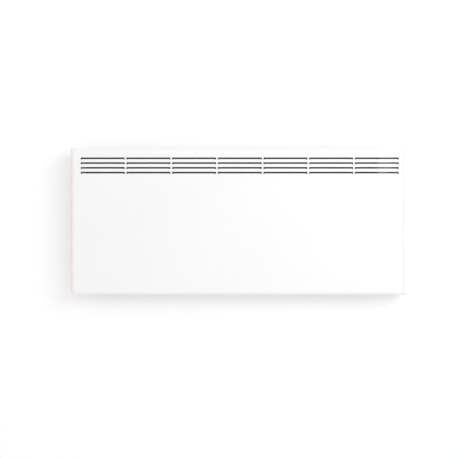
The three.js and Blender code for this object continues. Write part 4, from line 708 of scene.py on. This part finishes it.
def window_ring(grow):
    """The outline in (y, z) of the window that the controls look out of."""
    return rounded_rectangle(
        CONTROL_Y - WINDOW_WIDTH / 2 - grow, CONTROL_Y + WINDOW_WIDTH / 2 + grow,
        WINDOW_Z - WINDOW_HEIGHT / 2 - grow, WINDOW_Z + WINDOW_HEIGHT / 2 + grow,
        WINDOW_CORNER + grow, WINDOW_STEPS,
    )


def end_cap(side):
    """The cap of one end: a shell with a rounded front, and on the right the controls' window."""
    mesh = bmesh.new()
    outer_x = CAP_HIGH.x
    inner_x = HALF_WIDTH + SEAM
    depth = outer_x - inner_x

    def at(x, points):
        return [mesh.verts.new((side * x, y, z)) for y, z in points]

    outer = []
    for share in CAP_STATIONS:
        distance = share * CAP_FRONT_ROUND
        outer.append(at(outer_x - distance, cap_ring(distance, 0)))
    for k in range(RIM_STEPS + 1):
        angle = QUARTER * k / RIM_STEPS
        back = CAP_EASE * (1 - math.sin(angle))
        outer.append(at(inner_x + back, cap_outline(CAP_EASE * (1 - math.cos(angle)))))
    inner = [at(inner_x, cap_ring(depth, CAP_WALL))]
    for share in reversed(CAP_STATIONS):
        distance = CAP_WALL + share * (CAP_FRONT_ROUND - CAP_WALL)
        if distance < depth:
            inner.append(at(outer_x - distance, cap_ring(distance, CAP_WALL)))
    skin(mesh, outer + inner)
    if side > 0:
        collar_end = FASCIA_X - FASCIA_THICKNESS
        window = [at(x, window_ring(0)) for x in (outer_x, collar_end)]
        collar = [at(x, window_ring(WINDOW_COLLAR)) for x in (collar_end, outer_x - CAP_WALL)]
        skin(mesh, window + collar)
        fill_between(mesh, outer[0], window[0])
        fill_between(mesh, inner[-1], collar[-1])
    else:
        fill_between(mesh, outer[0])
        fill_between(mesh, inner[-1])
    name = "right" if side > 0 else "left"
    piece = new_object(name + "_cap_moulding", outwards(mesh), CAP_PLASTIC)
    bevelled(piece, CAP_EDGE, 3, SHARP)
    dress(settle(piece), "heater", "white_plastic", name + "_end_cap")


# ---- Sheets, blocks and mouldings of the frame with their edges broken ----
MERGE = 0.002 * MM
FLAT = math.radians(0.4)
SHEET_EDGE = 0.15 * MM
MOULDED_EDGE = 0.35 * MM
CHANNEL_BEND = 1.9 * MM

SHEETS = [
    "bracket_cross_rail", "rear_panel", "left_gable", "right_gable", "control_partition",
    "heat_shield", "air_guide", "cutout_clip", "sensor_clip", "heating_element",
]
MOULDINGS = [
    "lock_left", "lock_right", "control_housing", "control_cover", "terminal_block",
    "power_switch_body", "control_board", "overheat_cutout", "potentiometer",
]
LEADS = ["element_lead", "supply_lead", "cutout_lead", "sensor_lead"]


def welded_body(node):
    """A node's own body with its shared corners joined."""
    mesh = bmesh.new()
    mesh.from_mesh(NODES[node].data)
    bmesh.ops.remove_doubles(mesh, verts=mesh.verts, dist=MERGE)
    return mesh


def merged_body(node):
    """A node's own body with its flat faces joined."""
    mesh = welded_body(node)
    bmesh.ops.dissolve_limit(mesh, angle_limit=FLAT, verts=mesh.verts, edges=mesh.edges)
    return mesh


def weighted(piece):
    modifier = piece.modifiers.new("normals", "WEIGHTED_NORMAL")
    modifier.keep_sharp = True


def middle_of(node):
    """The two corners of a node's box, and its middle."""
    low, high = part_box(node)
    return low, high, (low + high) / 2


def hollowed(piece, cutter):
    """The piece with the cutter's space taken out of it."""
    modifier = piece.modifiers.new("cut", "BOOLEAN")
    modifier.object = cutter
    modifier.operation = "DIFFERENCE"
    modifier.solver = "EXACT"
    return piece


def finished(node, edge, segments=2, cutters=()):
    """The node's own body, each edge broken by a small rounding."""
    piece = new_object(node + "_finished", merged_body(node), finish_of(node))
    for cutter in cutters:
        hollowed(piece, cutter)
    bevelled(piece, edge, segments, FINE_SHARP)
    weighted(piece)
    settle(piece)
    for cutter in cutters:
        bpy.data.objects.remove(cutter)
    dress(piece, BODY_OF[node], SLOT_OF[node], node)


def fold_cutter(x, side, low, high):
    """What a rounded fold leaves off the outer corner of a channel whose side stands at x."""
    bend = CHANNEL_BEND
    outline = arc((-bend, -bend), bend, 0, QUARTER, BEND_STEPS)
    outline += [(-bend, bend), (bend, bend), (bend, -bend)]
    mesh = bmesh.new()
    add_prism(mesh, [
        [mesh.verts.new((x + side * a, b, z)) for a, b in outline] for z in (low, high)
    ])
    return new_object("fold_cutter", outwards(mesh), ZINC)


def bracket_upright(node):
    low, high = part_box(node)
    ends = (low.z - CHANNEL_BEND, high.z + CHANNEL_BEND)
    cutters = [fold_cutter(low.x, -1, *ends), fold_cutter(high.x, 1, *ends)]
    finished(node, SHEET_EDGE, cutters=cutters)


def smooth_lead(node):
    """A sleeve: the frame's faceted tube, rounded."""
    piece = new_object(node + "_sleeve", welded_body(node), finish_of(node))
    modifier = piece.modifiers.new("round", "SUBSURF")
    modifier.levels = modifier.render_levels = 2
    dress(settle(piece), BODY_OF[node], SLOT_OF[node], node)


def finish_bodies():
    for node in SHEETS:
        finished(node, SHEET_EDGE)
    for node in ("bracket_upright_left", "bracket_upright_right"):
        bracket_upright(node)
    for node in MOULDINGS:
        finished(node, MOULDED_EDGE, 3)
    for node in LEADS:
        smooth_lead(node)


# ---- Turned pieces ----
# Profiles are pairs of radius and height in millimetres; so are the screws' sizes.
TURN_SIDES = 48
DOME_STEPS = 8


def turned_mesh(pairs, sides=TURN_SIDES, shape=None):
    """A body turned about +Z from its pairs; shape(angle, k) may take some radius off pair k."""
    mesh = bmesh.new()
    rings = []
    for k, (radius, height) in enumerate(pairs):
        radius, height = radius * MM, height * MM
        if radius <= 0:
            rings.append([mesh.verts.new((0, 0, height))])
            continue
        ring = []
        for i in range(sides):
            angle = TURN * i / sides
            reach = radius - (shape(angle, k) if shape else 0)
            ring.append(mesh.verts.new((reach * math.cos(angle), reach * math.sin(angle), height)))
        rings.append(ring)
    spans = list(zip(rings, rings[1:]))
    if len(rings[0]) > 1 and len(rings[-1]) > 1:
        spans.append((rings[-1], rings[0]))
    for first, second in spans:
        for i in range(sides):
            here, there = first[i % len(first)], first[(i + 1) % len(first)]
            across, beside = second[(i + 1) % len(second)], second[i % len(second)]
            mesh.faces.new(list(dict.fromkeys((here, there, across, beside))))
    return outwards(mesh)


def placed(centre, direction):
    """A move that takes the origin to the centre and +Z to the direction."""
    turn = Vector(direction).to_track_quat("Z", "Y").to_matrix().to_4x4()
    return Matrix.Translation(centre) @ turn


def along_x(node, side=1):
    """A place on the node's end that looks along it to +X or -X, and its length in millimetres."""
    low, high, middle = middle_of(node)
    start = low.x if side > 0 else high.x
    return placed((start, middle.y, middle.z), (side, 0, 0)), (high.x - low.x) / MM


def off_the_rear(node):
    """A place on the rear panel that looks to the wall, and the node's two ends off the panel."""
    low, high, middle = middle_of(node)
    place = placed((middle.x, REAR_Y, middle.z), (0, 1, 0))
    return place, (low.y - REAR_Y) / MM, (high.y - REAR_Y) / MM


def turned(node, pairs, place, edge, sides=TURN_SIDES, shape=None, name="turned"):
    """A turned piece that stands for a node."""
    mesh = turned_mesh(pairs, sides, shape)
    mesh.transform(place)
    piece = new_object(f"{node}_{name}", mesh, finish_of(node))
    bevelled(piece, edge, 2, FINE_SHARP)
    weighted(piece)
    dress(settle(piece), BODY_OF[node], SLOT_OF[node], node)


def dome(radius, low, high):
    """Pairs over a quarter of an ellipse, from the rim to the axis."""
    pairs = []
    for k in range(DOME_STEPS):
        angle = QUARTER * k / DOME_STEPS
        pairs.append((radius * math.cos(angle), low + (high - low) * math.sin(angle)))
    return pairs + [(0, high)]


SCREW_THREADS = 7
SCREW_REACH = 8.0
SCREW_TIP = 0.4
SCREW_PLAIN = 1
SCREW_CREST = 0.45  # a share of the pitch
SCREW_RADIUS = 1.6
SCREW_CORE = 1.2
SCREW_HEAD = 3.4
SCREW_RIM = 0.55
SCREW_RISE = 2.0
SCREW_SIDES = 32
SCREW_EDGE = 0.08 * MM
RECESS_REACH = 1.7 * MM
RECESS_HALF = 0.32 * MM
RECESS_DEPTH = 1.3 * MM
RECESS_ABOVE = 0.5 * MM
# The arms' reach above the crown, and their reach and half width at the foot, as shares.
RECESS_MOUTH = 1.1
RECESS_FOOT_REACH = 0.35
RECESS_FOOT_HALF = 0.7


def screw_profile():
    """From the point up its threads to the crown, its seat at height 0."""
    pairs = [(0, -SCREW_REACH), (SCREW_CORE / 2, -SCREW_REACH)]
    pitch = (SCREW_REACH - SCREW_PLAIN) / SCREW_THREADS
    for k in range(SCREW_THREADS):
        start = -SCREW_REACH + SCREW_TIP + k * pitch
        pairs += [(SCREW_CORE, start), (SCREW_RADIUS, start + pitch * SCREW_CREST)]
    pairs += [(SCREW_CORE, -SCREW_TIP), (SCREW_RADIUS, 0), (SCREW_HEAD, 0), (SCREW_HEAD, SCREW_RIM)]
    return pairs + dome(SCREW_HEAD, SCREW_RIM, SCREW_RISE)


def recess_cutter():
    """A cross with tapered arms that stands in the crown of a screw."""
    crown = SCREW_RISE * MM
    levels = (
        (crown - RECESS_DEPTH, RECESS_REACH * RECESS_FOOT_REACH, RECESS_HALF * RECESS_FOOT_HALF),
        (crown + RECESS_ABOVE, RECESS_REACH * RECESS_MOUTH, RECESS_HALF),
    )
    mesh = bmesh.new()
    for turn in (0, QUARTER):
        c, s = math.cos(turn), math.sin(turn)
        rings = []
        for z, reach, half in levels:
            corners = [(reach, -half), (reach, half), (-reach, half), (-reach, -half)]
            ring = [mesh.verts.new((a * c - b * s, a * s + b * c, z)) for a, b in corners]
            rings.append(ring)
        add_prism(mesh, rings)
    return new_object("recess_cutter", outwards(mesh), FASTENER)


def screw_pattern():
    """The mesh of one pan-head screw with a cross recess, head up, its seat at the origin."""
    screw = new_object("screw_pattern", turned_mesh(screw_profile(), SCREW_SIDES), FASTENER)
    cutter = recess_cutter()
    hollowed(screw, cutter).modifiers["cut"].use_self = True
    bevelled(screw, SCREW_EDGE, 2, SCREW_SHARP)
    weighted(screw)
    settle(screw)
    data = screw.data
    bpy.data.objects.remove(screw)
    bpy.data.objects.remove(cutter)
    return data


def screw(pattern, node, seat, direction):
    """A copy of the pattern that stands for a node, its seat and its head's direction given."""
    data = pattern.copy()
    data.transform(placed(seat, direction))
    data.materials.clear()
    data.materials.append(finish_of(node))
    piece = bpy.data.objects.new(node + "_pan_head", data)
    bpy.context.scene.collection.objects.link(piece)
    dress(piece, BODY_OF[node], SLOT_OF[node], node)


def screws():
    """Every screw: those of the caps look inwards from both ends, the others out of the rear."""
    pattern = screw_pattern()
    rise = SCREW_RISE * MM
    for node in sorted(NODES):
        if "screw" not in node:
            continue
        low, high, middle = middle_of(node)
        if "cap_screw" in node:
            side = 1 if middle.x > 0 else -1
            seat = low.x + rise if side > 0 else high.x - rise
            screw(pattern, node, (seat, middle.y, middle.z), (-side, 0, 0))
        else:
            screw(pattern, node, (middle.x, high.y - rise, middle.z), (0, 1, 0))
    bpy.data.meshes.remove(pattern)


def rivets():
    for node in sorted(NODES):
        if "rivet" not in node:
            continue
        side = 1 if middle_of(node)[2].x > 0 else -1
        place, length = along_x(node, side)
        tail = [
            (0, length), (2.4, length), (2.9, length - 0.5), (2.9, length - 1.2),
            (2, length - 1.2), (2, 1.2),
        ]
        head = [(radius, -height) for radius, height in dome(3.6, -1.2, 0)]
        turned(node, tail + head, place, edge=0.1 * MM)


def buffers():
    for node in ("wall_buffer_left", "wall_buffer_right"):
        place, back, _ = off_the_rear(node)
        stem = [(0, back), (4.9, back), (5.4, back + 0.5), (5.4, back + 2), (4.2, back + 2)]
        foot = [
            (4.2, 0.3), (9, 0.3), (9, 3.4), (8.6, 3.8), (8.6, 4.8), (9, 5.2), (9, 9.6),
            (8.7, 10.6), (7.9, 11.5), (6.7, 12), (4.4, 12), (4.1, 11.6), (3.1, 11.6),
            (2.8, 11.9), (0, 11.9),
        ]
        turned(node, stem + foot, place, edge=0.2 * MM)


def cable_gland():
    place, back, front = off_the_rear("cable_gland")
    inner_flange = [(4, back), (9.9, back), (10.5, back + 0.6), (10.5, back + 2.2), (8, back + 2.2)]
    outer_flange = [(8, 0.3), (10.5, 0.3), (10.5, 0.9), (10.1, 1.5)]
    nozzle = [
        (8.6, front - 0.2), (7.4, front - 0.2), (7.1, front - 0.6), (6.4, front - 0.6),
        (6.1, front), (4.4, front), (4, front - 0.4),
    ]
    turned("cable_gland", inner_flange + outer_flange + nozzle, place, edge=0.12 * MM)


def element_ends():
    """The element's rod and the two bushes that carry it."""
    place, length = along_x("element_rod")
    rod = [
        (0, 0), (3.6, 0), (4, 0.4), (4, length - 10.6), (3.4, length - 10), (2, length - 10),
        (2, length - 0.5), (1.5, length), (0, length),
    ]
    turned("element_rod", rod, place, edge=0.1 * MM)
    bush = [
        (4.3, 0), (11.2, 0), (12, 0.8), (12, 3), (9, 3), (9, 8.4), (8.4, 9.3), (5, 9.3),
        (4.3, 8.6),
    ]
    for node, side in (("element_bush_left", -1), ("element_bush_right", 1)):
        turned(node, bush, along_x(node, side)[0], edge=0.2 * MM)


def air_sensor():
    low, _, middle = middle_of("air_sensor")
    place = placed((middle.x, low.y, middle.z), (0, 1, 0))
    pairs = [(0, 0), (2.1, 0), (2.6, 0.5), (2.6, 4), (2.3, 4.3), (2.3, 5)]
    turned("air_sensor", pairs + dome(2.6, 13.4, 16), place, edge=0.1 * MM)


def lens():
    place, length = along_x("indicator_lens")
    rim = [(0, 0), (2.3, 0), (2.5, 0.3), (2.5, length - 1.3), (2.4, length - 1.05)]
    crown = dome(2.2, length - 0.95, length)
    turned("indicator_lens", rim + crown, place, edge=0.06 * MM)


def spindle():
    place, length = along_x("thermostat_spindle")
    pairs = [(0, 0), (2.7, 0), (3, 0.3), (3, length - 0.5), (2.5, length), (0, length)]
    turned("thermostat_spindle", pairs, place, edge=0.08 * MM)


# ---- Marks ----
# Takes a shape drawn with +X up the part and +Z outwards to the right-hand end.
AXIS_X = Matrix(((0, 0, 1, 0), (0, -1, 0, 0), (1, 0, 0, 0), (0, 0, 0, 1)))
MARK_EDGE = 0.12 * MM
MARK_CORNER = 0.6
MARK_STEPS = 4
RING_SIDES = 40


def mark(name, size, centre, levels, material, turn=0.0):
    """A small bar with rounded corners, in millimetres: its width and length, centre and levels."""
    across, along = size[0] / 2, size[1] / 2
    corner = min(along, across) * MARK_CORNER
    outline = rounded_rectangle(-along, along, -across, across, corner, MARK_STEPS)
    spin = Matrix.Rotation(turn, 2)
    points = [spin @ (Vector(p) + Vector(centre)) * MM for p in outline]
    mesh = bmesh.new()
    add_prism(mesh, [[mesh.verts.new((p.x, p.y, z * MM)) for p in points] for z in levels])
    piece = new_object(name, outwards(mesh), material)
    edge = min(MARK_EDGE, (levels[1] - levels[0]) * MM / 3)
    return settle(bevelled(piece, edge, 2, SHARP))


# ---- Controls in the right end ----
DIAL_TIP = DIAL_HIGH.x - DIAL_LOW.x
DIAL_SIDES = 192
DIAL_LOWEST = math.radians(135)
FLUTES = 12
FLUTE_HALF = 0.19  # radians
FLUTE_DEPTH = 0.9 * MM
TICKS = 11
TICK_SWEEP = math.radians(270)
# In millimetres, the ticks' start off the dial's axis, their width, the first one's length and
# how much longer the last one is.
TICK_START = 15.75
TICK_WIDTH = 0.55
TICK_LENGTH = 0.7
TICK_GROWTH = 0.8


def dial_profile():
    """(radius, height, share of the flutes' depth), from the bore round to the dish's middle."""
    tip = DIAL_TIP / MM - 0.12
    return [
        (0, 4.2, 0), (3.3, 4.2, 0), (3.3, 0, 0), (14.5, 0, 0), (14.9, 0.25, 0), (15, 0.6, 0),
        (15, 1.5, 0), (14.8, 1.9, 0), (14.5, 2.1, 0.7), (14.5, 2.4, 1), (14.4, 4.2, 1),
        (14.3, tip - 1.6, 1), (14.15, tip - 0.9, 1), (13.8, tip - 0.35, 0.9),
        (13.2, tip - 0.05, 0.55), (12.6, tip, 0.2), (11.6, tip, 0), (9, tip, 0),
        (8.5, tip - 0.1, 0), (8.1, tip - 0.4, 0), (7, tip - 0.75, 0), (4, tip - 0.95, 0),
        (0, tip - 1, 0),
    ]


def flute(angle):
    """How deep the nearest flute is at an angle, from 0 to 1."""
    step = TURN / FLUTES
    off = abs((angle / step) % 1 - 0.5) * step
    return math.cos(QUARTER * min(off / FLUTE_HALF, 1)) ** 2


def dial():
    """The fluted dial at its lowest setting, with its pointer."""
    node = "thermostat_dial"
    middle = middle_of(node)[2]
    rows = dial_profile()

    def shape(angle, k):
        return FLUTE_DEPTH * rows[k][2] * flute(angle)

    base = Matrix.Translation((DIAL_LOW.x, middle.y, middle.z))
    lowest = base @ Matrix.Rotation(DIAL_LOWEST, 4, "X")
    place = lowest @ placed((0, 0, 0), (1, 0, 0))
    pairs = [(radius, height) for radius, height, _ in rows]
    turned(node, pairs, place, 0.1 * MM, sides=DIAL_SIDES, shape=shape, name="knob")
    face = DIAL_TIP / MM
    pointer = mark("dial_pointer", (0.9, 3.6), (11.6, 0), (face - 1.0, face - 0.05), PRINT)
    pointer.data.transform(lowest @ AXIS_X)
    dress(pointer, BODY_OF[node], "dark_plastic")


def fascia_print():
    """Marks round the dial that grow longer clockwise, from its lowest setting to its highest."""
    middle = middle_of("thermostat_dial")[2]
    place = Matrix.Translation((FASCIA_X, middle.y, middle.z)) @ AXIS_X
    for k in range(TICKS):
        share = k / (TICKS - 1)
        size = (TICK_WIDTH, TICK_LENGTH + TICK_GROWTH * share)
        centre = (TICK_START + size[1] / 2, 0)
        angle = DIAL_LOWEST - TICK_SWEEP * share
        tick = mark(f"fascia_mark_{k + 1}", size, centre, (-0.3, 0.06), PRINT, angle)
        tick.data.transform(place)
        dress(tick, "heater", "dark_plastic")


ROCKER_TILT = 0.14  # radians
ROCKER_STEPS = 12
ROCKER_EDGE = 0.45 * MM
# The key's section in millimetres, up the part and outwards.
ROCKER_HALF = 9.7
ROCKER_TOP_HALF = ROCKER_HALF - 0.3
ROCKER_RISE = 3.6
ROCKER_WAIST = 2.4
ROCKER_SKIRT = -1.2
ROCKER_FOOT = (1.6, -3.4)
ROCKER_MARK_Z = 5.2


def rocker_level(z):
    """How far out the key's dished top stands at a height."""
    return ROCKER_WAIST + (ROCKER_RISE - ROCKER_WAIST) * (z / ROCKER_TOP_HALF) ** 2


def rocker_section():
    half, foot = ROCKER_FOOT
    outline = [(-half, foot), (half, foot), (ROCKER_HALF, ROCKER_SKIRT)]
    for k in range(ROCKER_STEPS + 1):
        z = ROCKER_TOP_HALF - 2 * ROCKER_TOP_HALF * k / ROCKER_STEPS
        outline.append((z, rocker_level(z)))
    return outline + [(-ROCKER_HALF, ROCKER_SKIRT)]


def rocker():
    """The switch's key, leaning to its off side, with its marks."""
    node = "power_rocker"
    switch = middle_of("power_switch_body")[2]
    half = (ROCKER_HIGH.y - ROCKER_LOW.y) / 2
    section = rocker_section()
    mesh = bmesh.new()
    add_prism(mesh, [
        [mesh.verts.new((x * MM, y, z * MM)) for z, x in section] for y in (-half, half)
    ])
    base = Matrix.Translation((FASCIA_X, CONTROL_Y, switch.z))
    place = base @ Matrix.Rotation(-ROCKER_TILT, 4, "Y")
    outwards(mesh).transform(place)
    piece = new_object("power_rocker_key", mesh, DARK_PLASTIC)
    bevelled(piece, ROCKER_EDGE, 3, FINE_SHARP)
    weighted(piece)
    dress(settle(piece), BODY_OF[node], SLOT_OF[node], node)
    rocker_marks(place)


def on_the_key(z):
    """A place on the key's dished top at a height, square to it."""
    slope = 2 * (ROCKER_RISE - ROCKER_WAIST) * z / ROCKER_TOP_HALF ** 2
    level = Matrix.Translation((rocker_level(z) * MM, 0, z * MM))
    return level @ Matrix.Rotation(math.atan(slope), 4, "Y") @ AXIS_X


def rocker_marks(place):
    """A bar on one half of the key and a ring on the other."""
    bar = mark("rocker_bar", (0.55, 3.2), (0, 0), (-0.3, 0.07), MARK_WHITE)
    bar.data.transform(place @ on_the_key(-ROCKER_MARK_Z))
    dress(bar, "power_rocker", "white_plastic")
    ring = turned_mesh([
        (1.25, -0.3), (1.75, -0.3), (1.75, 0.05), (1.65, 0.08), (1.35, 0.08), (1.25, 0.05),
    ], RING_SIDES)
    ring.transform(place @ on_the_key(ROCKER_MARK_Z))
    dress(new_object("rocker_ring", ring, MARK_WHITE), "power_rocker", "white_plastic")


# ---- Stage and light ----
STAGE_REACH = 6.0
FLOOR_Z = -0.9
FLOOR_COLOURS = (0.80, 0.80, 0.80), (0.82, 0.82, 0.82)
WALL_COLOUR = (0.55, 0.545, 0.545)
WALL_GLOW_COLOUR = (1.0, 0.995, 0.995)
WALL_GLOW = 0.48
# Painted shadow on the wall: the share of the glow taken away near a piece, how close it reaches,
# and on which side.
CONTACT_SHADE = 0.5
CONTACT_REACH = 42 * MM
KEY_SIDE = (0.85, -0.45, 0.65)

SKY_COLOUR = (1.0, 0.996, 0.994)
SKY_STRENGTH = 0.745
# Each light's name, place, target, width and height, and power in watts.
LIGHTS = [
    ("key", (2.1, -3.0, 1.3), (0.1, 0, 0), (2.4, 1.8), 59.0),
    ("back", (-1.5, 3.0, 1.8), (0, 0, 0), (2.5, 2.0), 12.0),
]


def plane(name, corners, material):
    mesh = bmesh.new()
    mesh.faces.new([mesh.verts.new(c) for c in corners])
    new_object(name, mesh, material, smooth=False)


def one_sided(material):
    """The finish on a surface's front only, so that the part can be seen past it from behind."""
    tree = material.node_tree
    facing = tree.nodes.new("ShaderNodeNewGeometry")
    clear = tree.nodes.new("ShaderNodeBsdfTransparent")
    mix = tree.nodes.new("ShaderNodeMixShader")
    tree.links.new(facing.outputs["Backfacing"], mix.inputs["Fac"])
    tree.links.new(tree.nodes["Principled BSDF"].outputs["BSDF"], mix.inputs[1])
    tree.links.new(clear.outputs["BSDF"], mix.inputs[2])
    tree.links.new(mix.outputs["Shader"], tree.nodes["Material Output"].inputs["Surface"])
    return material


def wall_glow_and_painted_shadow(tree):
    """The wall's even glow with a painted shadow in it: darker where a piece close by stands on the
    key light's side.
    """
    towards_key = tree.nodes.new("ShaderNodeCombineXYZ")
    for axis, value in zip("XYZ", Vector(KEY_SIDE).normalized()):
        towards_key.inputs[axis].default_value = value
    # An ambient occlusion node paints the shadow into the glow.
    shade = tree.nodes.new("ShaderNodeAmbientOcclusion")
    shade.inputs["Distance"].default_value = CONTACT_REACH
    tree.links.new(towards_key.outputs["Vector"], shade.inputs["Normal"])
    glow = tree.nodes.new("ShaderNodeMapRange")
    glow.inputs["To Min"].default_value = WALL_GLOW * (1 - CONTACT_SHADE)
    glow.inputs["To Max"].default_value = WALL_GLOW
    tree.links.new(shade.outputs["AO"], glow.inputs["Value"])
    return glow.outputs["Result"]


def wall_paint():
    """A matt white wall that glows evenly, with a painted shadow near the part."""
    material, tree, shader, coordinates = new_material("stage_wall")
    shader.inputs["Base Color"].default_value = (*WALL_COLOUR, 1)
    shader.inputs["Emission Color"].default_value = (*WALL_GLOW_COLOUR, 1)
    tree.links.new(wall_glow_and_painted_shadow(tree), shader.inputs["Emission Strength"])
    shader.inputs["Roughness"].default_value = 1.0
    shader.inputs["Specular IOR Level"].default_value = 0.0
    grain = noise(tree, coordinates, scale=300.0)
    rough = bump(tree, grain, strength=0.05, distance=0.02 * MM)
    tree.links.new(rough, shader.inputs["Normal"])
    return one_sided(material)


def make_stage():
    r = STAGE_REACH
    wall = [(-r, 0, FLOOR_Z), (r, 0, FLOOR_Z), (r, 0, r), (-r, 0, r)]
    floor = [(-r, -r, FLOOR_Z), (r, -r, FLOOR_Z), (r, r, FLOOR_Z), (-r, r, FLOOR_Z)]
    plane("stage_wall", wall, wall_paint())
    floor_paint = surface("stage_floor", *FLOOR_COLOURS, 0.9, grain=200.0, depth=0.02)
    plane("stage_floor", floor, one_sided(floor_paint))


def area_light(name, place, target, size, power):
    data = bpy.data.lights.new(name, "AREA")
    data.shape = "RECTANGLE"
    data.size, data.size_y = size
    data.energy = power
    light = bpy.data.objects.new(name, data)
    light.location = place
    direction = Vector(target) - Vector(place)
    light.rotation_mode = "QUATERNION"
    light.rotation_quaternion = direction.to_track_quat("-Z", "Y")
    bpy.context.scene.collection.objects.link(light)


def make_light():
    world = bpy.data.worlds.new("studio")
    bpy.context.scene.world = world
    world.use_nodes = True
    background = world.node_tree.nodes["Background"]
    background.inputs["Color"].default_value = (*SKY_COLOUR, 1)
    background.inputs["Strength"].default_value = SKY_STRENGTH
    for light in LIGHTS:
        area_light(*light)
    view = bpy.context.scene.view_settings
    view.view_transform = "Standard"
    view.look = "None"
    view.exposure = 0.0
    view.gamma = 1.0


# ---- The whole ----
make_camera()
finish_frame()
front_panel()
end_cap(-1)
end_cap(1)
finish_bodies()
screws()
rivets()
buffers()
cable_gland()
element_ends()
air_sensor()
dial()
fascia_print()
rocker()
lens()
spindle()
make_stage()
make_light()
